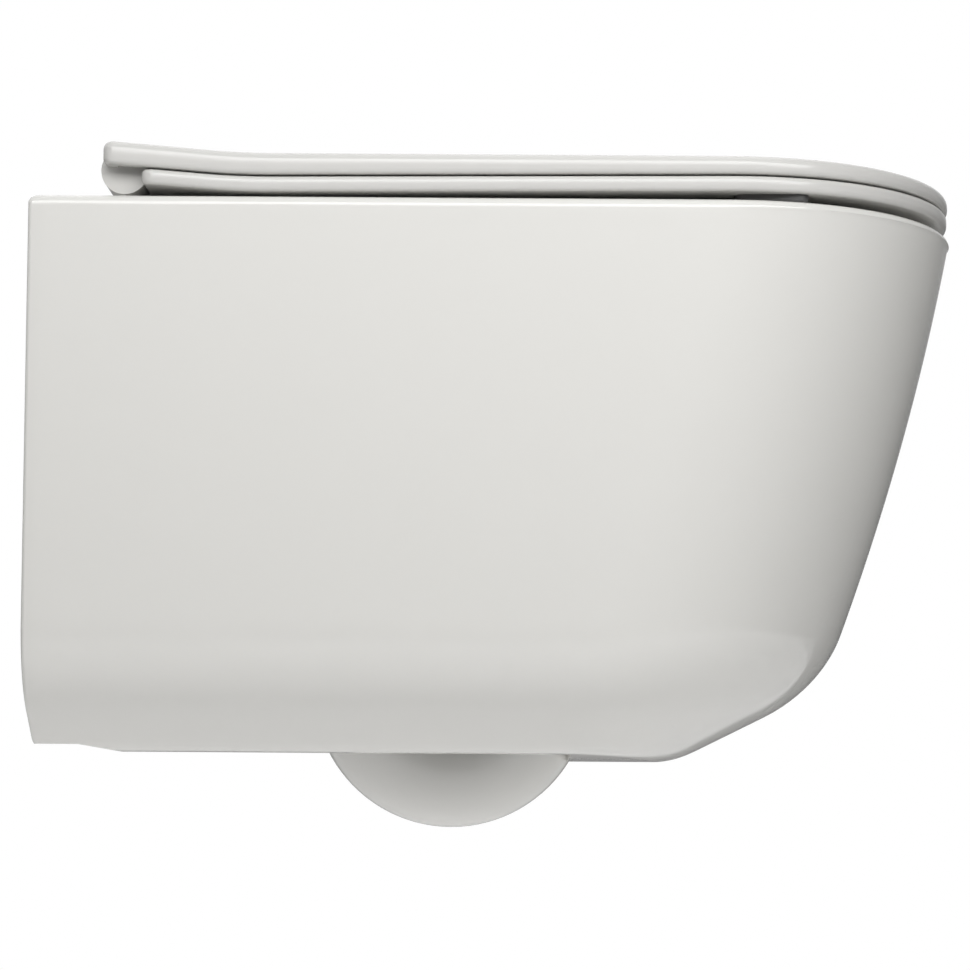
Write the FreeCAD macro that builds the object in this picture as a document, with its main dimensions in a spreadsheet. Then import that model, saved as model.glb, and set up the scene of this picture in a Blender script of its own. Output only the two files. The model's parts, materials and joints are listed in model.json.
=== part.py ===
"""Wall hung toilet: a shrouded ceramic pan with a hinged seat ring and a hinged lid.

Millimetres.  X runs from the wall to the front, Y across the pan and Z up.  The origin is the
midpoint between the two wall studs, on the face of the wall.
"""
import FreeCAD
import Part
import Sketcher

import math
import os

# name, value, what it is
SIZES = (
    # where the pan meets the wall and the pipes
    ("stud_spacing", 180, "between the two wall studs"),
    ("stud_radius", 6, "M12 stud"),
    ("stud_to_rim", 80, "studs up to the flat of the rim"),
    ("outlet_drop", 100, "studs down to the middle of the outlet"),
    ("inlet_rise", 35, "studs up to the middle of the flush inlet"),
    # outer form of the pan
    ("projection", 540, "wall to the foremost point of the rim"),
    ("pan_width", 356, "across the two flat sides"),
    ("pan_height", 310.5, "bottom edge up to the rim"),
    ("nose_length", 148, "length of the rounded nose, along X"),
    ("front_lean", 10.8, "angle of the front from upright, at the rim"),
    ("front_bow", 1375, "radius of the bowed front line"),
    ("tuck_height", 71, "where the sides start to tuck in"),
    ("tuck_radius", 58, "radius of the tuck"),
    ("tuck_angle", 58, "angle of the tuck's flat, from upright"),
    ("sole_drop", 5.5, "how far the closed sole hangs below the side edges"),
    ("sole_inset", 62, "side of the pan in to the lower edge of the tuck"),
    ("sole_start", 316, "wall to the rear edge of the closed sole"),
    ("rim_edge_radius", 5, "rounding of the outer edge of the rim"),
    ("heel_length", 26, "length of the relieved bottom edge at the wall"),
    ("heel_ramp", 17, "length of its slope"),
    ("heel_rise", 3, "height of the relief"),
    # walls of the pan
    ("shroud_wall", 11, "thickness of the shroud"),
    ("deck_thickness", 15, "thickness of the rim and the rear deck"),
    ("sole_thickness", 9, "thickness of the closed sole"),
    ("web_thickness", 16, "thickness of the wall that carries the studs"),
    ("web_drop", 46, "studs down to the lower edge of that wall"),
    ("stud_hole_radius", 9, "hole for the stud sleeve"),
    ("stud_boss_radius", 22, "thickened ring around a stud hole"),
    ("stud_boss_height", 4, "how far that ring stands proud of the wall"),
    # bowl
    ("bowl_rear", 138, "wall to the rear of the bowl's opening"),
    ("rim_side", 37, "width of the rim at the sides"),
    ("rim_front", 52, "width of the rim at the nose"),
    ("bowl_centre", 330, "wall to the widest point of the opening"),
    ("bowl_fullness", 1.25, "exponent that keeps the upper bowl wide"),
    ("bowl_wall", 10, "thickness of the bowl"),
    ("bowl_edge_radius", 5, "rounding of the opening's edge"),
    # trap
    ("trap_centre_x", 238, "wall to the middle of the U bend"),
    ("trap_centre_rise", 38.5, "bottom edge up to the middle of the U bend"),
    ("trap_bend", 46, "centre-line radius of the bends"),
    ("trap_bore", 29, "radius of the waterway"),
    ("trap_wall", 9, "thickness of the trap"),
    ("spigot_radius", 51, "outside of the outlet spigot"),
    ("spigot_bore", 43, "inside of the outlet spigot"),
    ("spigot_length", 45, "straight length of the outlet spigot"),
    ("spigot_setback", 25, "wall to the end of the spigot"),
    ("spigot_taper", 35, "length over which the trap widens to the spigot"),
    # flush inlet
    ("inlet_socket_radius", 27.5, "bore of the inlet socket"),
    ("inlet_socket_depth", 45, "depth of the inlet socket"),
    ("inlet_wall", 9, "thickness around the socket and the channel"),
    ("channel_radius", 20, "radius of the flush channel"),
    ("channel_run", 50, "rear of the bowl's opening to the end of the channel, inside the bowl"),
    ("flush_pipe_radius", 22.5, "outside of the flush pipe"),
    ("seal_start", 1, "wall to the seal"),
    ("seal_end", 36, "wall to the inner end of the seal"),
    ("seal_bevel", 2, "bevel of the seal's inner end"),
    # hinge line
    ("hinge_x", 52.5, "wall to the hinge line and the fixing holes"),
    ("hinge_height", 16, "deck up to the hinge line"),
    ("hinge_spacing", 155, "between the two fixing holes"),
    ("fixing_hole_radius", 7.5, "fixing hole in the deck"),
    ("knuckle_radius", 10, "outside of the hinge knuckles"),
    ("post_width", 15, "width of a hinge post along the hinge line"),
    ("post_depth", 18, "depth of a hinge post, wall to front"),
    ("knuckle_length", 36, "length of a hinge knuckle"),
    ("knuckle_gap", 0.5, "gap between a post and a knuckle"),
    ("knuckle_end", 1.5, "closed end of a knuckle"),
    ("arm_low", 8.5, "hinge line down to the underside of the seat's arms"),
    ("arm_high", 1.5, "hinge line down to the top of the seat's arms"),
    ("arm_lap", 14, "rear end of the seat to the front end of its arms"),
    ("pin_radius", 4, "hinge pins and damper shafts"),
    ("bush_wall", 2.8, "thickness of a pivot bush"),
    ("damper_radius", 7.6, "outside of a damper"),
    ("damper_neck", 2, "how far a damper is set back from its post"),
    ("damper_nose", 3, "length of the damper's tapered end"),
    ("shaft_share", 0.6, "share of a damper's length that its shaft reaches into"),
    ("flat_width", 6, "across the two flats of a damper shaft"),
    ("snug_gap", 0.05, "clearance of a part that is held tight"),
    ("running_gap", 0.1, "clearance between turning faces"),
    ("loose_gap", 0.2, "clearance around a bolt and behind a pin"),
    ("rest_gap", 0.3, "rest gap where parts lie on each other"),
    ("chamfer", 0.6, "chamfer of bolts, pins, screws and dampers"),
    # hinge fixings
    ("pad_radius", 15.5, "hinge base pad"),
    ("pad_thickness", 1, "hinge base pad"),
    ("base_radius", 15, "hinge base"),
    ("base_thickness", 4, "hinge base"),
    ("base_bevel_height", 1.5, "bevel of a hinge base, upright"),
    ("base_bevel_width", 2.5, "bevel of a hinge base, level"),
    ("bolt_radius", 4, "hinge bolt"),
    ("bolt_length", 44, "hinge bolt below its head"),
    ("bolt_head_radius", 6, "head that the post sits on"),
    ("bolt_head_height", 5.5, "height of that head"),
    ("drive_radius", 2.5, "hexagon socket in the head, to its corners"),
    ("drive_depth", 3, "hexagon socket in the head"),
    ("sleeve_sink", 0.5, "deck down to the top of the expansion sleeve"),
    ("expander_length", 28, "rubber expansion sleeve"),
    ("cone_length", 9, "threaded cone below the sleeve"),
    ("cone_tip", 2.5, "length of the cone's tapered tip"),
    ("cone_gap", 0.7, "clearance of the cone in the fixing hole"),
    ("grub_radius", 2.5, "grub screw that locks a post"),
    # seat
    ("seat_inset", 1.5, "edge of the seat behind the edge of the rim"),
    ("seat_rear", 61.3, "wall to the rear end of the seat"),
    ("seat_thickness", 8.6, "thickness of the seat"),
    ("seat_clearance", 2.6, "rim up to the seat, at the bend"),
    ("seat_rise", 0.45, "angle by which the seat rises to the front"),
    ("kick_start", 118, "wall to the bend where seat and lid turn up"),
    ("kick_angle", 4.9, "angle by which their rear turns up"),
    ("kick_radius", 420, "radius of that bend"),
    ("seat_hole_rear", 197, "wall to the rear of the hole"),
    ("seat_hole_front", 476, "wall to the front of the hole"),
    ("seat_hole_width", 226, "width of the hole"),
    ("seat_corner", 8, "rear corners of the seat in plan"),
    ("edge_radius", 2.5, "rounding of the edges of seat and lid"),
    ("roll_gap", 1.5, "clearance of the lid's roll in the seat"),
    # lid
    ("lid_inset", 1, "edge of the lid behind the edge of the rim"),
    ("lid_rear", 40.2, "wall to the rear end of the lid's plate"),
    ("lid_gap", 1.2, "seat up to the edge of the lid"),
    ("lid_top", 25, "rim up to the level top of the lid"),
    ("lid_skin", 5, "thickness of the lid's plate"),
    ("lid_rim", 8, "width of the lid's turned-down edge"),
    ("lid_corner", 7, "rear corners of the lid in plan"),
    ("lid_edge_radius", 5, "rounding of the lid's upper edge"),
    ("barrel_radius", 13.3, "roll along the rear of the lid"),
    ("barrel_end", 163, "middle to the end of the roll"),
    ("barrel_wall", 2.7, "thickness of the hollow roll"),
    ("barrel_cheek", 41, "solid end of the roll"),
    ("notch_width", 33, "width of the notch around a post"),
    ("notch_length", 18, "hinge line to the front end of that notch"),
    # buffers
    ("seat_buffer_setback", 121, "foremost point of the rim back to the front buffers of the seat"),
    ("seat_buffer_rear_x", 175, "wall to the rear buffers of the seat"),
    ("seat_buffer_inset", 21, "side of the pan in to a buffer of the seat"),
    ("seat_buffer_length", 42, "buffer of the seat"),
    ("seat_buffer_width", 13, "buffer of the seat"),
    ("lid_buffer_setback", 110, "foremost point of the rim back to the buffers of the lid"),
    ("lid_buffer_inset", 53, "side of the pan in to a buffer of the lid"),
    ("lid_buffer_length", 22, "buffer of the lid"),
    ("lid_buffer_width", 9, "buffer of the lid"),
    # wall fixings
    ("sleeve_flange_radius", 13.5, "flange of that sleeve"),
    ("sleeve_flange", 2.5, "thickness of that flange"),
    ("washer_radius", 16, "washer on a stud"),
    ("washer_thickness", 2.5, "washer on a stud"),
    ("nut_flats", 19, "M12 nut across its flats"),
    ("nut_height", 10, "M12 nut"),
    ("bolting_gap", 0.4, "clearance around a stud"),
    # cutting tools
    ("overrun", 5, "how far a cutting tool runs past a face"),
)

doc = FreeCAD.newDocument("wall_hung_toilet")
sheet = doc.addObject("Spreadsheet::Sheet", "sizes")
for row, (alias, value, meaning) in enumerate(SIZES, start=1):
    sheet.set("A%d" % row, meaning)
    sheet.set("B%d" % row, str(value))
    sheet.setAlias("B%d" % row, alias)
doc.recompute()


def size(alias):
    """Read one driving dimension from the sheet."""
    return float(sheet.get(alias))


def words(expression):
    """Write an expression with every bare alias prefixed by the name of the sheet."""
    aliases = {alias for alias, value, meaning in SIZES}
    out, word = "", ""
    for letter in expression + " ":
        if letter.isalnum() or letter == "_":
            word += letter
            continue
        out += ("sizes." + word if word in aliases else word) + letter
        word = ""
    return out.strip()


def bind(item, **properties):
    """Bind properties of an object to expressions in the sheet's aliases."""
    for name, expression in properties.items():
        item.setExpression(name, words(expression))
    return item


def place(item, x="0", y="0", z="0"):
    """Bind the place of an object."""
    for axis, expression in (("x", x), ("y", y), ("z", z)):
        item.setExpression(".Placement.Base." + axis, words(expression))
    return item


ALONG_X = FreeCAD.Rotation(FreeCAD.Vector(0, 1, 0), 90)
ALONG_Y = FreeCAD.Rotation(FreeCAD.Vector(1, 0, 0), -90)
ALONG_Z = FreeCAD.Rotation()

RIM = "stud_to_rim"
BOTTOM = "(stud_to_rim - pan_height)"
AXIS_Z = "(stud_to_rim + hinge_height)"
LEFT, RIGHT = "(hinge_spacing / 2)", "(-hinge_spacing / 2)"


def cylinder(name, radius, height, turn, x="0", y="0", z="0", angle=None):
    """A cylinder that starts at (x, y, z) and runs along the turned Z axis."""
    item = doc.addObject("Part::Cylinder", name)
    bind(item, Radius=radius, Height=height)
    if angle:
        bind(item, Angle=angle)
    item.Placement = FreeCAD.Placement(FreeCAD.Vector(), turn)
    return place(item, x, y, z)


def cone(name, radius1, radius2, height, turn, x="0", y="0", z="0"):
    """A cone from radius1 at (x, y, z) to radius2."""
    item = doc.addObject("Part::Cone", name)
    bind(item, Radius1=radius1, Radius2=radius2, Height=height)
    item.Placement = FreeCAD.Placement(FreeCAD.Vector(), turn)
    return place(item, x, y, z)


def box(name, x0, x1, y0, y1, z0, z1):
    """A box between two corners."""
    item = doc.addObject("Part::Box", name)
    bind(item, Length="(%s) - (%s)" % (x1, x0), Width="(%s) - (%s)" % (y1, y0),
         Height="(%s) - (%s)" % (z1, z0))
    return place(item, x0, y0, z0)


def feature(name, shape):
    """An object whose form is worked out below."""
    item = doc.addObject("Part::Feature", name)
    item.Shape = shape
    return item


def fuse(name, *items):
    """Join objects."""
    item = doc.addObject("Part::MultiFuse", name)
    item.Shapes = list(items)
    item.Refine = False
    return item


def cut(name, base, *tools):
    """Take tools away from a base."""
    for number, tool in enumerate(tools, start=1):
        item = doc.addObject("Part::Cut", name if number == len(tools) else name + "_%d" % number)
        item.Base = base
        item.Tool = tool
        item.Refine = False
        base = item
    return base


def common(name, first, second):
    """Keep what two objects share."""
    item = doc.addObject("Part::Common", name)
    item.Base = first
    item.Tool = second
    item.Refine = False
    return item


def mirror(item):
    """The same object on the other side of the middle plane."""
    twin = doc.addObject("Part::Mirroring", item.Name + "_mirror")
    twin.Source = item
    twin.Normal = FreeCAD.Vector(0, 1, 0)
    return twin


def both(name, item):
    """A tool or a pair of like pieces, one on each side."""
    pair = doc.addObject("Part::Compound", name)
    pair.Links = [item, mirror(item)]
    return pair


PARTS = []


def finished(item, label):
    """Name a sub-part and put it on the list that is written out."""
    item.Label = label
    PARTS.append(item)
    return item


# ---------------------------------------------------------------- outlines and lofts

def vec(x, y, z):
    return FreeCAD.Vector(x, y, z)


def half_ellipse(z, centre, tip, half):
    """Half an ellipse through (centre, +-half), with its tip in front of or behind the centre."""
    reach = abs(tip - centre)
    if reach > half:
        ellipse = Part.Ellipse(vec(centre + reach, 0, z), vec(centre, half, z), vec(centre, 0, z))
        edge = Part.ArcOfEllipse(ellipse, -math.pi / 2, math.pi / 2).toShape()
    else:
        ellipse = Part.Ellipse(vec(centre, half, z), vec(centre - reach, 0, z), vec(centre, 0, z))
        edge = Part.ArcOfEllipse(ellipse, -math.pi, 0).toShape()
    if tip < centre:
        edge.rotate(vec(centre, 0, z), vec(0, 0, 1), 180)
    return edge


def line(start, end):
    return Part.LineSegment(start, end).toShape()


def nose_wire(z, rear, start, front, half):
    """A straight-sided outline with a half-ellipse nose."""
    corners = [vec(start, half, z), vec(rear, half, z), vec(rear, -half, z), vec(start, -half, z)]
    sides = [line(a, b) for a, b in zip(corners, corners[1:])]
    return Part.Wire([half_ellipse(z, start, front, half)] + sides)


def egg_wire(z, rear, centre, front, half):
    """An egg-shaped outline: a half-ellipse to the front and another to the rear."""
    return Part.Wire([half_ellipse(z, centre, front, half), half_ellipse(z, centre, rear, half)])


def prism(wire, height):
    return Part.Face(wire).extrude(vec(0, 0, height))


def front_at(drop):
    """Foremost point of the pan, without its tuck, at a drop below the rim."""
    lean = math.tan(math.radians(size("front_lean")))
    return size("projection") - lean * drop - drop ** 2 / (2 * size("front_bow"))


def tuck_at(rise):
    """How far the sides are drawn in at a rise above the bottom edge."""
    radius, turn = size("tuck_radius"), math.radians(size("tuck_angle"))
    depth = size("tuck_height") - rise
    if depth <= 0:
        return 0.0
    if depth <= radius * math.sin(turn):
        return radius - math.sqrt(radius ** 2 - depth ** 2)
    return radius * (1 - math.cos(turn)) + (depth - radius * math.sin(turn)) * math.tan(turn)


def pan_section(rise, rear, wall):
    """Outline of the pan at a rise above its bottom edge, a wall's thickness inside its skin."""
    drop = size("pan_height") - rise
    skin = front_at(drop)
    inset = tuck_at(rise) + wall
    start = skin - size("nose_length")
    half = size("pan_width") / 2 - inset
    return nose_wire(rise + size("stud_to_rim") - size("pan_height"), rear, start, skin - inset, half)


def steps(start, end, count):
    return [start + (end - start) * number / count for number in range(count + 1)]


def pan_loft(top, bottom, rear, wall):
    """Solid inside the pan's outlines: its upright sides, its tuck and the tuck's flat, in turn."""
    tuck, radius = size("tuck_height"), size("tuck_radius")
    turn = math.radians(size("tuck_angle"))
    curved = [tuck - radius * math.sin(angle) for angle in steps(0, turn, TUCK_STEPS)]
    bands = steps(top, tuck, UPRIGHT_STEPS), curved, steps(curved[-1], bottom, FLAT_STEPS)
    lofts = [Part.makeLoft([pan_section(rise, rear, wall) for rise in band], True, False)
             for band in bands]
    return lofts[0].fuse(lofts[1:])


def bowl_loft(wall):
    """Loft of the bowl, from its opening down to the round inlet of the trap."""
    rim, sump = size("stud_to_rim"), size("trap_centre_rise") - size("pan_height")
    drain_x = size("trap_centre_x") + size("trap_bend")
    bore = size("trap_bore")
    opening = {
        "rear": size("bowl_rear"), "centre": size("bowl_centre"),
        "front": size("projection") - size("rim_front"),
        "half": size("pan_width") / 2 - size("rim_side"),
    }
    drain = {"rear": drain_x - bore, "centre": drain_x, "front": drain_x + bore, "half": bore}
    wires = []
    for level in range(BOWL_LEVELS + 1):
        depth = level / BOWL_LEVELS
        share = (1 - math.cos(math.pi * depth ** size("bowl_fullness"))) / 2
        at = {key: opening[key] + (drain[key] - opening[key]) * share for key in opening}
        wires.append(egg_wire(rim + sump * depth, at["rear"] - wall, at["centre"],
                              at["front"] + wall, at["half"] + wall))
    return Part.makeLoft(wires, True, False)


UPRIGHT_STEPS = 4
TUCK_STEPS = 7
FLAT_STEPS = 3
BOWL_LEVELS = 8
WIDE = 400


def edges_where(shape, test):
    """Edges whose every end and middle passes a test."""
    found = []
    for edge in shape.Edges:
        middle = edge.valueAt((edge.FirstParameter + edge.LastParameter) / 2)
        points = [vertex.Point for vertex in edge.Vertexes] + [middle]
        if all(test(point) for point in points):
            found.append(edge)
    return found


# ---------------------------------------------------------------- pan

def pan_skin():
    """Outer form of the pan, with the edge of its rim rounded and its back cut flat."""
    rim, height, overrun = size("stud_to_rim"), size("pan_height"), size("overrun")
    skin = pan_loft(height, -size("sole_drop") - overrun, -overrun, 0)
    wall = Part.makeBox(WIDE, 2 * WIDE, 2 * WIDE, vec(-WIDE, -WIDE, -WIDE))
    skin = skin.cut(wall)
    top = edges_where(skin, lambda p: abs(p.z - rim) < 0.01)
    return skin.makeFillet(size("rim_edge_radius"), top)


skin = feature("pan_skin", pan_skin())

# the sole is a shallow barrel along X, lowest on the middle line
half_sole = "(pan_width / 2 - sole_inset)"
sole_radius = "(%s ^ 2 / (2 * sole_drop) + sole_drop / 2)" % half_sole
sole_curve = cylinder("sole_curve", sole_radius, "projection + 2 * overrun", ALONG_X, x="-overrun",
                      z="%s - sole_drop + %s" % (BOTTOM, sole_radius))
form = common("pan_form", skin, sole_curve)

hollow_skin = feature("hollow_skin", pan_loft(size("pan_height") - size("deck_thickness"),
                                              -size("sole_drop") - 2 * size("overrun"),
                                              -size("overrun"), size("shroud_wall")))
sole_block = box("sole_block", "sole_start", "projection", "-pan_width", "pan_width",
                 BOTTOM + " - pan_height", "%s - sole_drop + sole_thickness" % BOTTOM)
web_block = box("web_block", "-2 * overrun", "web_thickness", "-pan_width", "pan_width",
                "-web_drop", "stud_to_rim + overrun")
hollow = cut("pan_hollow", hollow_skin, sole_block, web_block)
shell = cut("pan_shell", form, hollow)

bowl_outside = feature("bowl_outside", bowl_loft(size("bowl_wall")))
bowl_inside = feature("bowl_inside", bowl_loft(0))


def trap_path():
    """Centre line of the trap: down from the bowl, round the U bend, up and over to the wall."""
    bend = size("trap_bend")
    middle = size("trap_centre_x")
    low = size("stud_to_rim") - size("pan_height") + size("trap_centre_rise")
    outlet = -size("outlet_drop")
    rise = outlet - bend
    end = size("spigot_setback") + size("spigot_length") + size("spigot_taper")
    arc = bend * math.sqrt(0.5)
    crown = middle - 2 * bend
    return Part.Wire([
        Part.Arc(vec(middle + bend, 0, low), vec(middle, 0, low - bend),
                 vec(middle - bend, 0, low)).toShape(),
        line(vec(middle - bend, 0, low), vec(middle - bend, 0, rise)),
        Part.Arc(vec(middle - bend, 0, rise), vec(crown + arc, 0, rise + arc),
                 vec(crown, 0, outlet)).toShape(),
        line(vec(crown, 0, outlet), vec(end, 0, outlet)),
    ])


def trap_pipe(radius):
    """A round pipe along the centre line of the trap."""
    path = trap_path()
    start = path.Edges[0].valueAt(path.Edges[0].FirstParameter)
    ring = Part.Wire([Part.Circle(start, vec(0, 0, 1), radius).toShape()])
    return path.makePipeShell([ring], True, False)


trap_outside = feature("trap_outside", trap_pipe(size("trap_bore") + size("trap_wall")))
trap_inside = feature("trap_inside", trap_pipe(size("trap_bore")))

outlet_z = "-outlet_drop"
taper_x = "spigot_setback + spigot_length"
spigot = cylinder("spigot", "spigot_radius", "spigot_length", ALONG_X, "spigot_setback", z=outlet_z)
taper = cone("taper", "spigot_radius", "trap_bore + trap_wall", "spigot_taper", ALONG_X, taper_x,
             z=outlet_z)
spigot_bore = cylinder("spigot_hole", "spigot_bore", "spigot_length + overrun", ALONG_X,
                       "spigot_setback - overrun", z=outlet_z)
taper_bore = cone("taper_hole", "spigot_bore", "trap_bore", "spigot_taper", ALONG_X, taper_x, z=outlet_z)

socket = cylinder("socket", "inlet_socket_radius + inlet_wall", "inlet_socket_depth + inlet_wall",
                  ALONG_X, z="inlet_rise")
channel = cylinder("channel", "channel_radius + inlet_wall", "bowl_rear + channel_run / 3", ALONG_X,
                   z="inlet_rise")
socket_hole = cylinder("socket_hole", "inlet_socket_radius", "inlet_socket_depth + overrun", ALONG_X,
                       x="-overrun", z="inlet_rise")
channel_hole = cylinder("channel_hole", "channel_radius", "bowl_rear + channel_run", ALONG_X,
                        z="inlet_rise")

boss = cylinder("stud_boss", "stud_boss_radius", "web_thickness + stud_boss_height", ALONG_X,
                y="stud_spacing / 2")
stud_hole = cylinder("stud_hole", "stud_hole_radius", "web_thickness + stud_boss_height + 2 * overrun",
                     ALONG_X, x="-overrun", y="stud_spacing / 2")
deck_hole = cylinder("deck_hole", "fixing_hole_radius", "deck_thickness + 2 * overrun", ALONG_Z,
                     "hinge_x", LEFT, "stud_to_rim - deck_thickness - overrun")


def heel_wedge():
    """The relief along the bottom edge beside the wall."""
    low = size("stud_to_rim") - size("pan_height")
    rise, flat, ramp = size("heel_rise"), size("heel_length"), size("heel_ramp")
    behind = -size("overrun")
    depth = size("sole_drop") + size("overrun")
    end = flat + ramp + depth * ramp / rise
    points = [vec(x, -WIDE / 2, low + z) for x, z in ((behind, -depth), (behind, rise), (flat, rise),
                                                      (end, -depth))]
    outline = Part.makePolygon(points + points[:1])
    return Part.Face(outline).extrude(vec(0, WIDE, 0))


def bowl_edges(shape):
    """Numbers of the edges around the bowl's opening."""
    rim, reach = size("stud_to_rim"), size("projection") - size("rim_front")
    half = size("pan_width") / 2 - size("rim_side")
    rear = size("bowl_rear")
    found = []
    for number, edge in enumerate(shape.Edges, start=1):
        points = [edge.valueAt(edge.FirstParameter + (edge.LastParameter - edge.FirstParameter) * part)
                  for part in (0, 0.3, 0.7, 1)]
        if all(abs(p.z - rim) < 0.01 and rear - 1 < p.x < reach + 1 and abs(p.y) < half + 1
               for p in points):
            found.append(number)
    return found


heel = feature("heel", heel_wedge())
ceramic = fuse("pan_walls", shell, bowl_outside, trap_outside, spigot, taper, socket, channel,
               both("stud_bosses", boss))
pan = cut("pan_body", ceramic, bowl_inside, trap_inside, spigot_bore, taper_bore, socket_hole,
          channel_hole, both("stud_holes", stud_hole), both("deck_holes", deck_hole), heel)
doc.recompute()
rounded_pan = doc.addObject("Part::Fillet", "rounded_pan")
rounded_pan.Base = pan
rounded_pan.Edges = [(number, size("bowl_edge_radius"), size("bowl_edge_radius"))
                     for number in bowl_edges(pan.Shape)]
finished(rounded_pan, "pan")

# ---------------------------------------------------------------- seat and lid blanks

def bent_line(z, rear, front, slope, kick):
    """A line along X that turns up towards the rear, as edges from the rear to the front."""
    bend = size("kick_start")
    forward = vec(math.cos(slope), 0, math.sin(slope))
    back = vec(-math.cos(kick), 0, math.sin(kick))
    corner = vec(bend, 0, z)
    reach = size("kick_radius") * math.tan((kick + slope) / 2)
    start, end = corner + back * reach, corner + forward * reach
    centre = corner + (forward + back).normalize() * (reach / math.sin((kick + slope) / 2))
    middle = centre + (corner - centre).normalize() * size("kick_radius")
    rear_end = corner + back * ((bend - rear) / math.cos(kick))
    front_end = corner + forward * ((front - bend) / math.cos(slope))
    return [line(rear_end, start), Part.Arc(start, middle, end).toShape(), line(end, front_end)]


def strip(low, high, slope_low, slope_high, rear, front):
    """A bent board across the whole width, between two heights at the bend."""
    kick = math.radians(size("kick_angle"))
    under = bent_line(low, rear, front, math.radians(slope_low), kick)
    over = bent_line(high, rear, front, math.radians(slope_high), kick)
    first, last = under[0].firstVertex(), under[-1].lastVertex()
    ends = [line(last.Point, over[-1].lastVertex().Point), line(first.Point, over[0].firstVertex().Point)]
    face = Part.Face(Part.Wire(Part.__sortEdges__(under + over + ends)))
    face.translate(vec(0, -WIDE / 2, 0))
    return face.extrude(vec(0, WIDE, 0))


def seat_height():
    """Underside of the seat at its bend."""
    return size("stud_to_rim") + size("seat_clearance")


def seat_top():
    return seat_height() + size("seat_thickness")


def lid_edge_height():
    """Lower edge of the lid at its bend."""
    return seat_top() + size("lid_gap")


def plan(rear, inset, corner):
    """Plan outline of seat or lid, set back from the edge of the rim, as a tall prism."""
    start = size("projection") - size("nose_length")
    outline = nose_wire(-WIDE, rear, start, size("projection") - inset, size("pan_width") / 2 - inset)
    solid = prism(outline, 2 * WIDE)
    corners = [edge for edge in edges_where(solid, lambda p: abs(p.x - rear) < 0.01)
               if abs(edge.tangentAt(edge.FirstParameter).z) > 0.9]
    return solid.makeFillet(corner, corners) if corner else solid


def middle_of(edge):
    return (edge.FirstParameter + edge.LastParameter) / 2


def rim_edges(shape, rear, front):
    """Upper and lower edges that run around a board."""
    found = []
    for edge in shape.Edges:
        point, run = edge.valueAt(middle_of(edge)), edge.tangentAt(middle_of(edge))
        across = abs(point.y) < 1 and rear + 1 < point.x < front - 10
        if abs(run.z) < 0.5 and not across:
            found.append(edge)
    return found


def seat_ring():
    """The seat's ring: a bent board cut to its outline, with its hole, raised to the front."""
    board = strip(seat_height(), seat_top(), 0, 0, size("seat_rear") - size("overrun"),
                  size("projection") + size("overrun"))
    ring = board.common(plan(size("seat_rear"), size("seat_inset"), size("seat_corner"))).Solids[0]
    ring = ring.makeFillet(size("edge_radius"), rim_edges(ring, size("seat_rear"), size("projection")))
    rear, front = size("seat_hole_rear"), size("seat_hole_front")
    half = size("seat_hole_width") / 2
    hole = egg_wire(-WIDE, rear, (rear + front) / 2, front, half)
    ring = ring.cut(prism(hole, 2 * WIDE))
    inner = [edge for edge in edges_where(ring, lambda p: rear - 1 < p.x < front + 1
                                          and abs(p.y) < half + 1)
             if abs(edge.tangentAt(edge.FirstParameter).z) < 0.5]
    ring = ring.makeFillet(size("edge_radius"), inner)
    ring.rotate(vec(size("kick_start"), 0, seat_height()), vec(0, -1, 0), size("seat_rise"))
    return ring


def lid_plate():
    """The lid: a bent board cut to its outline and hollowed from below."""
    top = size("stud_to_rim") + size("lid_top")
    board = strip(lid_edge_height(), top, size("seat_rise"), 0, size("lid_rear") - size("overrun"),
                  size("projection") + size("overrun"))
    plate = board.common(plan(size("lid_rear"), size("lid_inset"), size("lid_corner"))).Solids[0]
    middle = (lid_edge_height() + top) / 2
    kick = math.tan(math.radians(size("kick_angle")))
    upper, lower = [], []
    for edge in rim_edges(plate, size("lid_rear"), size("projection")):
        point = edge.valueAt(middle_of(edge))
        above = point.z > middle + kick * max(size("kick_start") - point.x, 0)
        (upper if above else lower).append(edge)
    plate = plate.makeFillet(size("lid_edge_radius"), upper)
    lower = [edge for edge in rim_edges(plate, size("lid_rear"), size("projection"))
             if any(edge.valueAt(middle_of(edge)).distanceToPoint(old.valueAt(middle_of(old))) < 1
                    for old in lower)]
    plate = plate.makeFillet(size("edge_radius"), lower)
    skin, rim = size("lid_skin"), size("lid_rim")
    inside = strip(0, top - skin, 0, 0, 0, size("projection"))
    return plate.cut(inside.common(plan(size("lid_rear") + rim, size("lid_inset") + rim, 0)))


# ---------------------------------------------------------------- hinge line
OUTER_START = "(hinge_spacing / 2 + post_width / 2 + knuckle_gap)"
OUTER_END = "(%s + knuckle_length)" % OUTER_START
INNER_END = "(hinge_spacing / 2 - post_width / 2 - knuckle_gap)"
INNER_START = "(%s - knuckle_length)" % INNER_END
CLEAR_RADIUS = "(barrel_radius - barrel_wall)"


def along_hinge(name, radius, start, end, angle=None, turned=0):
    """A cylinder on the hinge line; a sector of it starts at a turn, from +X up and over."""
    item = cylinder(name, radius, "(%s) - (%s)" % (end, start), ALONG_Y, "hinge_x", start, AXIS_Z, angle)
    if angle:
        turn = FreeCAD.Rotation(vec(0, -1, 0), turned)
        swing = FreeCAD.Rotation(vec(1, 0, 0), 90)
        item.Placement = FreeCAD.Placement(item.Placement.Base, turn.multiply(swing))
        place(item, "hinge_x", end, AXIS_Z)
    return item


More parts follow.
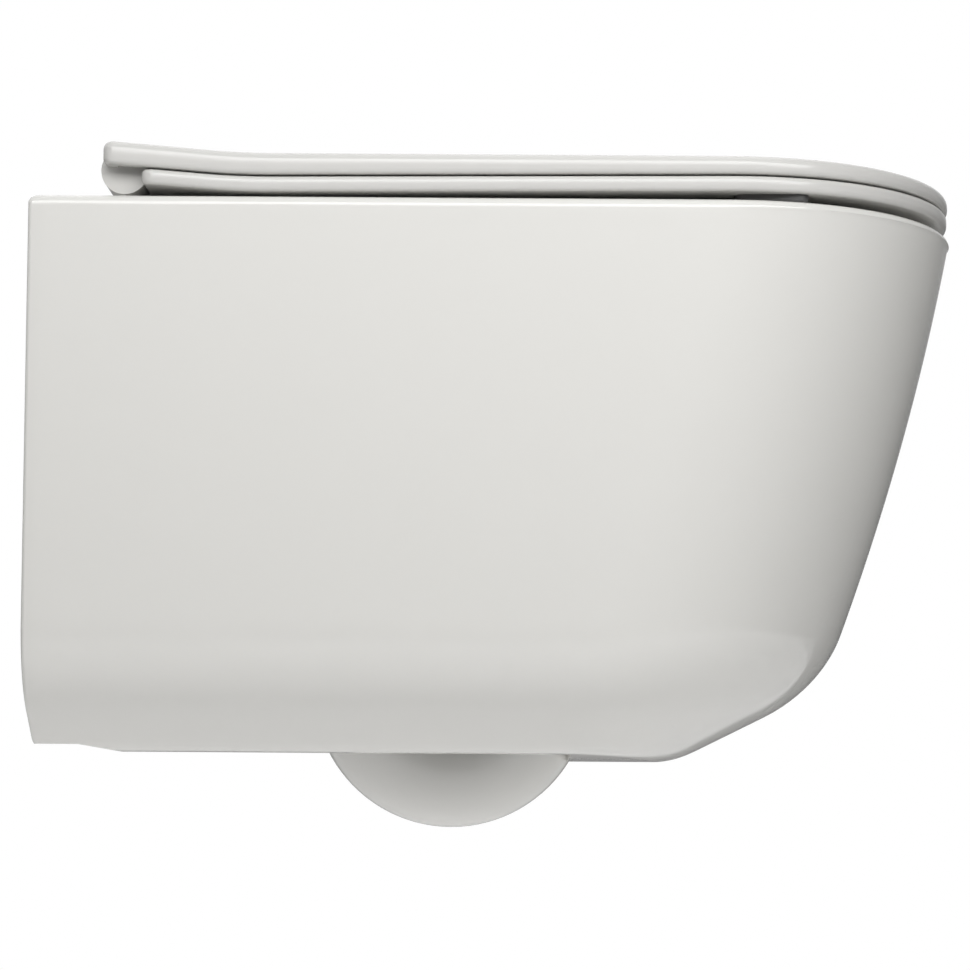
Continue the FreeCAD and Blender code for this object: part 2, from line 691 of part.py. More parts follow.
# ---------------------------------------------------------------- seat
ring = feature("seat_ring", seat_ring())
seat_knuckle = along_hinge("seat_knuckle", "knuckle_radius", OUTER_START, OUTER_END)
seat_arm = box("seat_arm", "hinge_x", "seat_rear + arm_lap", OUTER_START, OUTER_END,
               "%s - arm_low" % AXIS_Z, "%s - arm_high" % AXIS_Z)
bush_bore = along_hinge("seat_bush_bore", "pin_radius + running_gap + bush_wall",
                        OUTER_START + " - overrun", OUTER_END + " - knuckle_end")
seat_damper_bore = along_hinge("seat_damper_bore", "damper_radius + running_gap",
                               "-(%s - knuckle_end)" % OUTER_END, "-(%s - overrun)" % OUTER_START)
roll_room = along_hinge("roll_room", "barrel_radius + roll_gap", "-(barrel_end + roll_gap)",
                        "barrel_end + roll_gap")
seat_solid = fuse("seat_solid", cut("seat_blank", ring, roll_room), both("seat_arms", seat_arm),
                  both("seat_knuckles", seat_knuckle))
seat = cut("seat_body", seat_solid, bush_bore, seat_damper_bore)
finished(seat, "seat")

# ---------------------------------------------------------------- lid
# angles around the hinge line: 0 points to the front, 90 up, 180 to the wall
WALL_END = 212
OPEN_END = 398
WEB_START = 44
WEB_END = 208
plate = feature("lid_plate", lid_plate())
barrel = along_hinge("barrel", "barrel_radius", "-barrel_end", "barrel_end")
barrel_room = along_hinge("barrel_room", CLEAR_RADIUS, "-(barrel_end - barrel_cheek)",
                          "barrel_end - barrel_cheek")
barrel_mouth = along_hinge("barrel_mouth", "barrel_radius + loose_gap", "-(barrel_end - barrel_cheek)",
                           "barrel_end - barrel_cheek", str(OPEN_END - WALL_END), WALL_END)
notch = box("notch", "hinge_x - notch_length", "hinge_x + notch_length",
            "hinge_spacing / 2 - notch_width / 2", "hinge_spacing / 2 + notch_width / 2",
            AXIS_Z + " - notch_length", AXIS_Z + " + notch_length")
lid_knuckle = along_hinge("lid_knuckle", "knuckle_radius", INNER_START, INNER_END)
knuckle_web = along_hinge("knuckle_web", "barrel_radius - barrel_wall / 2", INNER_START,
                          "hinge_spacing / 2 - notch_width / 2", str(WEB_END - WEB_START), WEB_START)
lid_damper_bore = along_hinge("lid_damper_bore", "damper_radius + running_gap",
                              INNER_START + " + knuckle_end", INNER_END + " + overrun")
lid_bush_bore = along_hinge("lid_bush_bore", "pin_radius + running_gap + bush_wall",
                            "-(%s + overrun)" % INNER_END, "-(%s + knuckle_end)" % INNER_START)
cover = cut("lid_cover", fuse("lid_blank", plate, barrel), barrel_room, barrel_mouth,
            both("notches", notch))
lid_solid = fuse("lid_solid", cover, both("lid_knuckles", lid_knuckle), both("knuckle_webs", knuckle_web))
lid = cut("lid_body", lid_solid, lid_damper_bore, lid_bush_bore)
finished(lid, "lid")


# ---------------------------------------------------------------- turned pieces

def outline_sketch(body, points):
    """A closed outline on the body's XZ plane, each corner held by two bound distances."""
    sketch = body.newObject("Sketcher::SketchObject", body.Name + "_outline")
    plane = [part for part in body.Origin.OriginFeatures if part.Role == "XZ_Plane"][0]
    sketch.AttachmentSupport = [(plane, "")]
    sketch.MapMode = "FlatFace"
    count = len(points)
    rough = [vec(10 + 7 * n, 5 + n * n, 0) for n in range(count)]
    for n in range(count):
        sketch.addGeometry(Part.LineSegment(rough[n], rough[(n + 1) % count]), False)
    for n in range(count):
        sketch.addConstraint(Sketcher.Constraint("Coincident", n, 2, (n + 1) % count, 1))
    for n, corner in enumerate(points):
        for kind, value, expression in zip(("DistanceX", "DistanceY"), (rough[n].x, rough[n].y), corner):
            held = sketch.addConstraint(Sketcher.Constraint(kind, -1, 1, n, 1, value))
            sketch.setExpression("Constraints[%d]" % held, words(expression))
    return sketch


def turned(name, points, turn=ALONG_Z, x="0", y="0", z="0"):
    """A body revolved about its own Z axis from corners (radius, height)."""
    body = doc.addObject("PartDesign::Body", name)
    sketch = outline_sketch(body, points)
    spin = body.newObject("PartDesign::Revolution", name + "_spin")
    spin.Profile = sketch
    spin.ReferenceAxis = (sketch, ["V_Axis"])
    spin.Angle = 360
    sketch.Visibility = False
    body.Placement = FreeCAD.Placement(FreeCAD.Vector(), turn)
    return place(body, x, y, z)


def ring_points(inner, outer, low, high):
    return [(inner, low), (outer, low), (outer, high), (inner, high)]


# ---------------------------------------------------------------- hinge fixings
pad = turned("base_pad", ring_points("bolt_radius + loose_gap", "pad_radius", "0", "pad_thickness"),
             x="hinge_x", y=LEFT, z=RIM)
finished(both("base_pads", pad), "hinge_base_pads")

base = turned("hinge_base", [("bolt_radius + loose_gap", "0"), ("base_radius", "0"),
                             ("base_radius", "base_thickness - base_bevel_height"),
                             ("base_radius - base_bevel_width", "base_thickness"),
                             ("bolt_radius + loose_gap", "base_thickness")],
              x="hinge_x", y=LEFT, z=RIM + " + pad_thickness")
finished(base, "left_hinge_base")
finished(mirror(base), "right_hinge_base")

STACK = "(pad_thickness + base_thickness)"
bolt = turned("bolt", [("0", "-bolt_length"), ("bolt_radius - chamfer", "-bolt_length"),
                       ("bolt_radius", "chamfer - bolt_length"), ("bolt_radius", "0"),
                       ("bolt_head_radius", "0"), ("bolt_head_radius", "bolt_head_height - chamfer"),
                       ("bolt_head_radius - chamfer", "bolt_head_height"), ("0", "bolt_head_height")],
              x="hinge_x", y=LEFT, z="%s + %s" % (RIM, STACK))
drive = doc.addObject("Part::Prism", "drive")
drive.Polygon = 6
bind(drive, Circumradius="drive_radius", Height="drive_depth + overrun")
place(drive, "hinge_x", LEFT, "%s + %s + bolt_head_height - drive_depth" % (RIM, STACK))
finished(both("bolts", cut("driven_bolt", bolt, drive)), "hinge_bolts")

expander = turned("expander", [("bolt_radius + loose_gap", "-expander_length"),
                               ("fixing_hole_radius - 3 * chamfer", "-expander_length"),
                               ("fixing_hole_radius - loose_gap", "3 * chamfer - expander_length"),
                               ("fixing_hole_radius - loose_gap", "0"), ("bolt_radius + loose_gap", "0")],
                  x="hinge_x", y=LEFT, z=RIM + " - sleeve_sink")
finished(both("expanders", expander), "expansion_sleeves")

nut_cone = turned("nut_cone", [("bolt_radius + snug_gap", "-cone_length"),
                               ("fixing_hole_radius - cone_gap", "-cone_length"),
                               ("fixing_hole_radius - cone_gap", "-cone_tip"),
                               ("fixing_hole_radius - cone_gap - cone_tip / 2", "0"),
                               ("bolt_radius + snug_gap", "0")],
                  x="hinge_x", y=LEFT, z=RIM + " - sleeve_sink - expander_length - loose_gap")
finished(both("nut_cones", nut_cone), "sleeve_nuts")

# ---------------------------------------------------------------- hinge posts
NECK_BOTTOM = "%s + %s" % (RIM, STACK)


def hinge_post(name, middle):
    """A post on the hinge line: a round eye for a pin on its +Y side, flats for a shaft on its -Y side."""
    inner, outer = "(%s - post_width / 2)" % middle, "(%s + post_width / 2)" % middle
    head = along_hinge(name + "_head", "post_depth / 2", inner, outer)
    neck = box(name + "_neck", "hinge_x - post_depth / 2", "hinge_x + post_depth / 2", inner, outer,
               NECK_BOTTOM, AXIS_Z)
    bolt_seat = cylinder(name + "_bolt_seat", "bolt_head_radius + running_gap",
                         "bolt_head_height + loose_gap", ALONG_Z, "hinge_x", middle, NECK_BOTTOM)
    grub_hole = cylinder(name + "_grub_hole", "grub_radius + snug_gap", "post_depth / 2", ALONG_X,
                         "hinge_x - post_depth / 2", middle, GRUB_Z)
    eye = "pin_radius + snug_gap"
    round_eye = along_hinge(name + "_round_eye", eye, middle, "%s + post_width" % middle)
    shaft_eye = along_hinge(name + "_shaft_eye", eye, "%s - post_width" % middle, middle)
    flats = box(name + "_flats", "hinge_x - pin_radius - overrun", "hinge_x + pin_radius + overrun",
                "%s - post_width" % middle, middle,
                "%s - flat_width / 2 - snug_gap" % AXIS_Z, "%s + flat_width / 2 + snug_gap" % AXIS_Z)
    flat_eye = common(name + "_flat_eye", shaft_eye, flats)
    return cut(name + "_body", fuse(name + "_solid", head, neck), bolt_seat, grub_hole, round_eye, flat_eye)


GRUB_Z = NECK_BOTTOM + " + bolt_head_height / 2"
finished(hinge_post("left_post", LEFT), "left_hinge_post")
finished(hinge_post("right_post", RIGHT), "right_hinge_post")

grub_length = "(post_depth / 2 - bolt_head_radius - loose_gap)"
grub = turned("grub", [("0", "0"), ("grub_radius", "0"), ("grub_radius", grub_length + " - chamfer"),
                       ("grub_radius - chamfer", grub_length), ("0", grub_length)],
              ALONG_X, "hinge_x - post_depth / 2 + running_gap", LEFT, GRUB_Z)
grub_drive = doc.addObject("Part::Prism", "grub_drive")
grub_drive.Polygon = 6
bind(grub_drive, Circumradius="grub_radius / 2", Height="grub_radius / 2 + overrun")
grub_drive.Placement = FreeCAD.Placement(vec(0, 0, 0), ALONG_X)
place(grub_drive, "hinge_x - post_depth / 2 + running_gap - overrun", LEFT, GRUB_Z)
finished(both("grubs", cut("driven_grub", grub, grub_drive)), "grub_screws")

# ---------------------------------------------------------------- pivots and dampers
BORE_DEPTH = "(knuckle_length - knuckle_end)"


def pivot_pin(name, middle):
    """A pin from the middle of a post into the knuckle on its +Y side."""
    reach = "(post_width / 2 + knuckle_gap + %s - rest_gap)" % BORE_DEPTH
    return turned(name, [("0", "0"), ("pin_radius - chamfer", "0"), ("pin_radius", "chamfer"),
                         ("pin_radius", reach + " - chamfer"), ("pin_radius - chamfer", reach),
                         ("0", reach)],
                  ALONG_Y, "hinge_x", middle + " + loose_gap", AXIS_Z)


def pivot_bush(name, middle):
    """The plastic bush between a pin and its knuckle."""
    start = "%s + post_width / 2 + knuckle_gap + running_gap" % middle
    inner = "pin_radius + running_gap"
    return turned(name, ring_points(inner, inner + " + bush_wall - snug_gap", "0",
                                    BORE_DEPTH + " - running_gap - rest_gap"),
                  ALONG_Y, "hinge_x", start, AXIS_Z)


finished(pivot_pin("seat_pin", LEFT), "seat_pivot_pin")
finished(pivot_pin("lid_pin", RIGHT), "lid_pivot_pin")
finished(pivot_bush("seat_bush", LEFT), "seat_pivot_bush")
finished(pivot_bush("lid_bush", RIGHT), "lid_pivot_bush")

DAMPER_START = "post_width / 2 + knuckle_gap + damper_neck"
DAMPER_LENGTH = "(%s - damper_neck - rest_gap)" % BORE_DEPTH
SHAFT_IN = "(%s * shaft_share)" % DAMPER_LENGTH
WELL = "(pin_radius + running_gap)"
AWAY_Y = FreeCAD.Rotation(vec(1, 0, 0), 90)


def damper_housing(name, middle):
    """A damper in the knuckle on the -Y side of a post, with the well that its shaft turns in."""
    points = [(WELL, "0"), ("damper_radius - chamfer", "0"), ("damper_radius", "chamfer"),
              ("damper_radius", DAMPER_LENGTH + " - damper_nose"),
              ("damper_radius - damper_nose / 2", DAMPER_LENGTH), ("0", DAMPER_LENGTH),
              ("0", SHAFT_IN + " + loose_gap"), (WELL, SHAFT_IN + " + loose_gap")]
    return turned(name, points, AWAY_Y, "hinge_x", "%s - (%s)" % (middle, DAMPER_START), AXIS_Z)


def damper_shaft(name, middle):
    """The shaft of a damper, with two flats where it is held in the post."""
    reach = "(%s + %s - loose_gap)" % (DAMPER_START, SHAFT_IN)
    rod = turned(name + "_rod", [("0", "0"), ("pin_radius", "0"), ("pin_radius", reach), ("0", reach)],
                 AWAY_Y, "hinge_x", middle + " - loose_gap", AXIS_Z)
    held = "%s - post_width / 2 - knuckle_gap" % middle
    tools = []
    for number, (low, high) in enumerate((("flat_width / 2", "pin_radius + overrun"),
                                          ("-pin_radius - overrun", "-flat_width / 2"))):
        tools.append(box("%s_flat_%d" % (name, number), "hinge_x - pin_radius - overrun",
                         "hinge_x + pin_radius + overrun", held, middle,
                         "%s + %s" % (AXIS_Z, low), "%s + %s" % (AXIS_Z, high)))
    return cut(name + "_body", rod, *tools)


finished(damper_housing("lid_damper_case", LEFT), "lid_damper")
finished(damper_shaft("lid_shaft", LEFT), "lid_damper_shaft")
finished(damper_housing("seat_damper_case", RIGHT), "seat_damper")
finished(damper_shaft("seat_shaft", RIGHT), "seat_damper_shaft")

# ---------------------------------------------------------------- buffers

def buffer_pad(name, x, inset, length, width, low, high):
    """An oval rubber buffer between two heights, set in from the side of the pan."""
    half = size(width) / 2
    run = size(length) / 2 - half
    outline = Part.Wire([
        line(vec(-run, half, 0), vec(run, half, 0)),
        Part.Arc(vec(run, half, 0), vec(run + half, 0, 0), vec(run, -half, 0)).toShape(),
        line(vec(run, -half, 0), vec(-run, -half, 0)),
        Part.Arc(vec(-run, -half, 0), vec(-run - half, 0, 0), vec(-run, half, 0)).toShape(),
    ])
    item = feature(name, prism(outline, high - low))
    item.Placement = FreeCAD.Placement(vec(x, size("pan_width") / 2 - size(inset), low), ALONG_Z)
    return item


def seat_line(x):
    """Height of the seat's underside at a distance from the wall."""
    return seat_height() + (x - size("kick_start")) * math.tan(math.radians(size("seat_rise")))


def seat_buffer(name, x):
    """A buffer that hangs from the seat's underside to just above the rim."""
    blank = buffer_pad(name + "_blank", x, "seat_buffer_inset", "seat_buffer_length", "seat_buffer_width",
                       size("stud_to_rim") + size("rest_gap"), seat_line(x) + size("seat_thickness") / 2)
    return cut(name, blank, ring)


front_buffer = seat_buffer("front_buffer", size("projection") - size("seat_buffer_setback"))
rear_buffer = seat_buffer("rear_buffer", size("seat_buffer_rear_x"))
seat_buffers = doc.addObject("Part::Compound", "seat_buffer_set")
seat_buffers.Links = [front_buffer, mirror(front_buffer), rear_buffer, mirror(rear_buffer)]
finished(seat_buffers, "seat_buffers")

# the lid's buffers hang from its plate to just above the seat
lid_buffer_x = size("projection") - size("lid_buffer_setback")
buffer_front = lid_buffer_x + size("lid_buffer_length") / 2
seat_depth = size("seat_thickness") / math.cos(math.radians(size("seat_rise")))
lid_buffer = buffer_pad("lid_buffer", lid_buffer_x, "lid_buffer_inset", "lid_buffer_length",
                        "lid_buffer_width", seat_line(buffer_front) + seat_depth + size("rest_gap"),
                        size("stud_to_rim") + size("lid_top") - size("lid_skin"))
finished(both("lid_buffer_set", lid_buffer), "lid_buffers")

# ---------------------------------------------------------------- flush inlet and wall fixings
seal_out = "inlet_socket_radius - running_gap"
seal = turned("seal", [("flush_pipe_radius + running_gap", "seal_start"), (seal_out, "seal_start"),
                       (seal_out, "seal_end - seal_bevel"), (seal_out + " - seal_bevel", "seal_end"),
                       ("flush_pipe_radius + running_gap", "seal_end")],
              ALONG_X, z="inlet_rise")
finished(seal, "inlet_seal")

STUD_Y = "stud_spacing / 2"
FACE = "(web_thickness + stud_boss_height)"
sleeve_out = "(stud_hole_radius - loose_gap)"
stud_bore = "(stud_radius + bolting_gap)"
stud_sleeve = turned("stud_sleeve", [(stud_bore, "0"), (sleeve_out, "0"), (sleeve_out, FACE),
                                     ("sleeve_flange_radius", FACE),
                                     ("sleeve_flange_radius", FACE + " + sleeve_flange"),
                                     (stud_bore, FACE + " + sleeve_flange")],
                     ALONG_X, y=STUD_Y)
finished(both("stud_sleeve_pair", stud_sleeve), "stud_sleeves")

WASHER_X = "(%s + sleeve_flange)" % FACE
washer = turned("washer", ring_points(stud_bore, "washer_radius", "0", "washer_thickness"),
                ALONG_X, WASHER_X, STUD_Y)
finished(both("washer_pair", washer), "stud_washers")

nut_block = doc.addObject("Part::Prism", "nut_block")
nut_block.Polygon = 6
bind(nut_block, Circumradius="nut_flats / sqrt(3)", Height="nut_height")
nut_block.Placement = FreeCAD.Placement(vec(0, 0, 0), ALONG_X)
NUT_X = "(%s + washer_thickness)" % WASHER_X
place(nut_block, NUT_X, STUD_Y)
nut_hole = cylinder("nut_hole", "stud_radius + running_gap", "nut_height + 2 * overrun", ALONG_X,
                    NUT_X + " - overrun", STUD_Y)
finished(both("nut_pair", cut("nut", nut_block, nut_hole)), "stud_nuts")

# ---------------------------------------------------------------- write out
doc.recompute()
for item in doc.Objects:
    if "Invalid" in item.State or "Error" in item.State:
        raise RuntimeError("%s failed: %s" % (item.Name, item.State))
os.makedirs("parts", exist_ok=True)
for item in PARTS:
    shape = item.Shape
    if shape.isNull() or not shape.isValid():
        raise RuntimeError("%s has no valid shape" % item.Label)
    shape.exportStep(os.path.join("parts", item.Label + ".step"))
    room = shape.BoundBox
    print("%-22s %2d solids %8.1f cm3 %4d faces  x %.1f..%.1f y %.1f..%.1f z %.1f..%.1f" % (
        item.Label, len(shape.Solids), shape.Volume / 1000, len(shape.Faces),
        room.XMin, room.XMax, room.YMin, room.YMax, room.ZMin, room.ZMax))
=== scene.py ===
"""Looks of the wall hung toilet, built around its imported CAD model.

Metres.  X runs from the wall to the front, Y across the pan and Z up, as in the CAD model.
"""
import json
import math

import bmesh
import bpy
from mathutils import Matrix, Vector


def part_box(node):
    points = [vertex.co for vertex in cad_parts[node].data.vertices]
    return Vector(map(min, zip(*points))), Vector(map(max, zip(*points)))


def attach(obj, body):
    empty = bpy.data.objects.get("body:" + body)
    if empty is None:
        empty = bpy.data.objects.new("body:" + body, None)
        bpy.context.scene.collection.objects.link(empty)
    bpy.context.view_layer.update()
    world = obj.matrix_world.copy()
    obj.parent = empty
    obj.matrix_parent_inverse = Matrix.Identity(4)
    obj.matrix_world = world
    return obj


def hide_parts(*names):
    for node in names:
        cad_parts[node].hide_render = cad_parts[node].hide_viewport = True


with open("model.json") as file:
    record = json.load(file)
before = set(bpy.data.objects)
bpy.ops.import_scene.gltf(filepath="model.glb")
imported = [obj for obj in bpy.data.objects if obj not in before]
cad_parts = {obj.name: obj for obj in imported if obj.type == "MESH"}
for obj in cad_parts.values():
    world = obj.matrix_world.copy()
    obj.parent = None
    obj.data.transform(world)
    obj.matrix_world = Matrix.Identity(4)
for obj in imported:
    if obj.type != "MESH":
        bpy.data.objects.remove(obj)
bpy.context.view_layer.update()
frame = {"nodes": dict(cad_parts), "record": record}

bl_info = {
    "name": "Wall hung toilet",
    "version": (1, 0, 0),
    "blender": (4, 5, 0),
    "location": "View3D > Sidebar > Toilet",
    "description": "Builds a wall hung toilet with its seat, lid, hinges and fixings",
    "category": "Object",
}

PAN_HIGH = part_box("pan")[1]
RIM = PAN_HIGH[2]


# ---- sizes and colours

def number(name, description, default, **kind):
    return bpy.props.FloatProperty(name=name, description=description, default=default, **kind)


def length(name, description, default):
    return number(name, description, default, unit="LENGTH", precision=4)


def angle(name, description, degrees):
    return number(name, description, math.radians(degrees), subtype="ANGLE")


def colour(name, description, default):
    return bpy.props.FloatVectorProperty(name=name, description=description, default=default,
                                         size=3, min=0, max=1, subtype="COLOR")


class PanSizes(bpy.types.PropertyGroup):
    """Sizes of the ceramic pan."""
    projection: length("Projection", "Wall to the foremost point of the rim", 0.540)
    half_width: length("Half width", "Middle to a flat side", PAN_HIGH[1])
    height: length("Height", "Bottom edge up to the rim", 0.3105)
    nose: length("Nose", "Length of the rounded nose", 0.148)
    lean: angle("Front lean", "Angle of the front from upright, at the rim", 10.8)
    bow: length("Front bow", "Radius of the bowed front line", 1.375)
    tuck_height: length("Tuck height", "Where the sides start to tuck in", 0.071)
    tuck_radius: length("Tuck radius", "Radius of the tuck", 0.058)
    tuck_angle: angle("Tuck angle", "Angle of the tuck's flat, from upright", 58)
    sole_drop: length("Sole drop", "How far the sole hangs below the side edges", 0.0055)
    sole_start: length("Sole start", "Wall to the rear edge of the closed sole", 0.308)
    sole_wall: length("Sole thickness", "Thickness of the closed sole", 0.009)
    sole_round: length("Sole rounding", "Height of the rounding between sole and skin", 0.0066)
    sole_inset: length("Sole inset", "Side of the pan in to the lower edge of the tuck", 0.062)
    heel: length("Heel", "Length of the relieved bottom edge at the wall", 0.026)
    heel_ramp: length("Heel ramp", "Length of its slope", 0.017)
    heel_rise: length("Heel rise", "Height of the relief", 0.003)
    rim_edge: length("Rim edge", "Rounding of the outer edge of the rim", 0.005)
    wall_edge: length("Wall edge", "Rounding of the upright edges at the wall", 0.0025)
    wall: length("Shroud wall", "Thickness of the shroud", 0.011)
    deck: length("Deck", "Thickness of the rim and the rear deck", 0.015)
    web: length("Stud wall", "Thickness of the wall that carries the studs", 0.016)
    web_drop: length("Stud wall drop", "Studs down to the lower edge of that wall", 0.046)
    stud_spacing: length("Stud spacing", "Between the two studs", 0.180)
    bowl_rear: length("Bowl rear", "Wall to the rear of the bowl's opening", 0.138)
    bowl_front: length("Bowl front", "Wall to the front of the bowl's opening", 0.488)
    bowl_half: length("Bowl half width", "Half the width of the bowl's opening", 0.141)
    bowl_centre: length("Bowl centre", "Wall to the widest point of the opening", 0.330)
    bowl_fullness: number("Bowl fullness", "Exponent that keeps the upper bowl wide", 1.25)
    bowl_wall: length("Bowl wall", "Thickness of the bowl", 0.010)
    bowl_edge: length("Bowl edge", "Rounding of the opening's edge", 0.005)
    trap_x: length("Trap middle", "Wall to the middle of the U bend", 0.238)
    trap_rise: length("Trap rise", "Bottom edge up to the middle of the U bend", 0.0385)
    trap_bend: length("Trap bend", "Centre-line radius of the bends", 0.046)
    trap_bore: length("Trap bore", "Radius of the waterway", 0.029)
    trap_wall: length("Trap wall", "Thickness of the trap", 0.009)
    taper_start: length("Taper start", "Wall to where the waterway widens to the spigot", 0.105)
    taper_end: length("Taper end", "Wall to where it is as wide as the spigot", 0.070)
    outlet_drop: length("Outlet drop", "Studs down to the middle of the outlet", 0.100)
    spigot: length("Spigot", "Outside radius of the outlet spigot", 0.051)
    spigot_start: length("Spigot start", "Wall to the end of the spigot", 0.025)
    spigot_bore: length("Spigot bore", "Inside radius of the outlet spigot", 0.043)
    inlet_rise: length("Inlet rise", "Studs up to the middle of the flush inlet", 0.035)
    socket: length("Inlet socket", "Bore radius of the inlet socket", 0.0275)
    socket_depth: length("Inlet socket depth", "Depth of the inlet socket", 0.045)
    channel: length("Flush channel", "Radius of the flush channel", 0.020)
    inlet_wall: length("Inlet wall", "Thickness around the socket and the channel", 0.009)
    stud_hole: length("Stud hole", "Radius of the hole for a stud sleeve", 0.009)
    stud_boss: length("Stud boss", "Radius of the thickened ring around it", 0.022)
    boss_height: length("Boss height", "How far that ring stands proud of the wall", 0.004)


class BoardSizes(bpy.types.PropertyGroup):
    """Sizes of the seat, the lid and the hinge line."""
    bend: length("Bend", "Wall to the line where seat and lid turn up", 0.118)
    kick: angle("Kick", "Angle by which their rear turns up", 4.9)
    bend_radius: length("Bend radius", "Radius of that bend", 0.420)
    rise: angle("Seat rise", "Angle by which the seat rises to the front", 0.45)
    seat_low: length("Seat underside", "Rim up to the seat, at the bend", 0.0026)
    seat_thick: length("Seat thickness", "Thickness of the seat", 0.0086)
    seat_rear: length("Seat rear", "Wall to the rear end of the seat", 0.0613)
    seat_inset: length("Seat inset", "Edge of the seat behind the edge of the rim", 0.0015)
    lid_gap: length("Lid gap", "Seat up to the edge of the lid", 0.0012)
    lid_top: length("Lid top", "Rim up to the level top of the lid", 0.025)
    lid_rear: length("Lid rear", "Wall to the rear end of the lid's plate", 0.0402)
    lid_inset: length("Lid inset", "Edge of the lid behind the edge of the rim", 0.001)
    lid_skin: length("Lid skin", "Thickness of the lid's plate", 0.005)
    lid_rim: length("Lid rim", "Width of the lid's turned-down edge", 0.008)
    lid_inner: length("Lid inner rounding", "Rounding inside that edge", 0.002)
    lid_corner: length("Lid corner", "Rear corners of the lid in plan", 0.007)
    lid_upper: length("Lid upper edge", "Rounding of the lid's upper edge", 0.005)
    lid_lower: length("Lid lower edge", "Rounding of the lid's lower edge", 0.0028)
    seat_corner: length("Seat corner", "Rear corners of the seat in plan", 0.008)
    seat_edge: length("Seat edge", "Rounding of the seat's outer edge", 0.003)
    hole_edge: length("Hole edge", "Rounding of the edge of the seat's hole", 0.0035)
    hole_rear: length("Hole rear", "Wall to the rear of the seat's hole", 0.197)
    hole_front: length("Hole front", "Wall to the front of the seat's hole", 0.476)
    hole_half: length("Hole half width", "Half the width of the seat's hole", 0.113)
    pad_front: length("Front buffers", "Wall to the front buffers of the seat", 0.419)
    pad_rear: length("Rear buffers", "Wall to the rear buffers of the seat", 0.175)
    pad_half: length("Buffer half spacing", "Middle to a buffer of the seat", 0.157)
    pad_length: length("Buffer length", "Length of a buffer of the seat", 0.042)
    pad_width: length("Buffer width", "Width of a buffer of the seat", 0.013)
    lid_pad_x: length("Lid buffers", "Wall to the buffers of the lid", 0.430)
    lid_pad_half: length("Lid buffer half spacing", "Middle to a buffer of the lid", 0.125)
    lid_pad_length: length("Lid buffer length", "Length of a buffer of the lid", 0.022)
    lid_pad_width: length("Lid buffer width", "Width of a buffer of the lid", 0.009)


class HingeSizes(bpy.types.PropertyGroup):
    """Sizes of the hinges and of what holds them on the deck."""
    x: length("Hinge line", "Wall to the hinge line", 0.0525)
    rise: length("Hinge height", "Deck up to the hinge line", 0.016)
    half: length("Hinge half spacing", "Middle to a fixing hole", 0.0775)
    hole: length("Fixing hole", "Radius of a fixing hole", 0.0075)
    knuckle: length("Knuckle", "Outside radius of the knuckles", 0.010)
    knuckle_length: length("Knuckle length", "Length of a knuckle", 0.036)
    knuckle_gap: length("Knuckle gap", "Gap between a post and a knuckle", 0.0005)
    knuckle_end: length("Knuckle end", "Closed end of a knuckle", 0.0015)
    bush_bore: length("Bush bore", "Bore radius of a knuckle that holds a bush", 0.0069)
    damper_bore: length("Damper bore", "Bore radius of a knuckle that holds a damper", 0.0077)
    arm_low: length("Arm low", "Hinge line down to the underside of the seat's arms", 0.0085)
    arm_high: length("Arm high", "Hinge line down to the top of the seat's arms", 0.0015)
    arm_lap: length("Arm lap", "Rear end of the seat to the front end of its arms", 0.014)
    roll: length("Roll", "Radius of the roll along the rear of the lid", 0.0133)
    roll_end: length("Roll end", "Middle to the end of the roll", 0.163)
    roll_wall: length("Roll wall", "Thickness of the hollow roll", 0.0027)
    roll_cheek: length("Roll cheek", "Solid end of the roll", 0.041)
    roll_gap: length("Roll gap", "Clearance of the roll in the seat", 0.0015)
    notch_width: length("Notch width", "Width of the notch around a post", 0.033)
    notch_length: length("Notch length", "Hinge line to the front end of that notch", 0.018)
    web: length("Web", "Radius of the web that carries a knuckle of the lid", 0.012)
    bore: length("Bore", "Bore radius of pads, bases and sleeves around the bolt", 0.0042)
    pad: length("Pad", "Radius of a hinge base pad", 0.0155)
    pad_height: length("Pad height", "Thickness of a hinge base pad", 0.001)
    pad_edge: length("Pad edge", "Rounding of its edges", 0.0003)
    base: length("Base", "Radius of a hinge base", 0.015)
    base_height: length("Base height", "Thickness of a hinge base", 0.004)
    base_edge: length("Base edge", "Rounding of a hinge base's upper edge", 0.0018)
    post_width: length("Post width", "Width of a post along the hinge line", 0.015)
    post_depth: length("Post depth", "Depth of a post, wall to front", 0.018)
    post_edge: length("Post edge", "Rounding of a post's edges", 0.0009)
    head: length("Head room", "Radius of the room for the bolt's head in a post", 0.0061)
    head_height: length("Head room height", "Height of that room", 0.0057)
    eye: length("Eye", "Radius of the hole for a hinge pin", 0.00405)
    grub: length("Grub hole", "Radius of the hole for a grub screw", 0.00255)
    grub_rise: length("Grub screw height", "Foot of a post up to its grub screw", 0.00275)
    sleeve: length("Sleeve", "Radius of an expansion sleeve", 0.0073)
    sleeve_length: length("Sleeve length", "Length of an expansion sleeve", 0.028)
    sleeve_sink: length("Sleeve sink", "Deck down to the top of a sleeve", 0.0005)


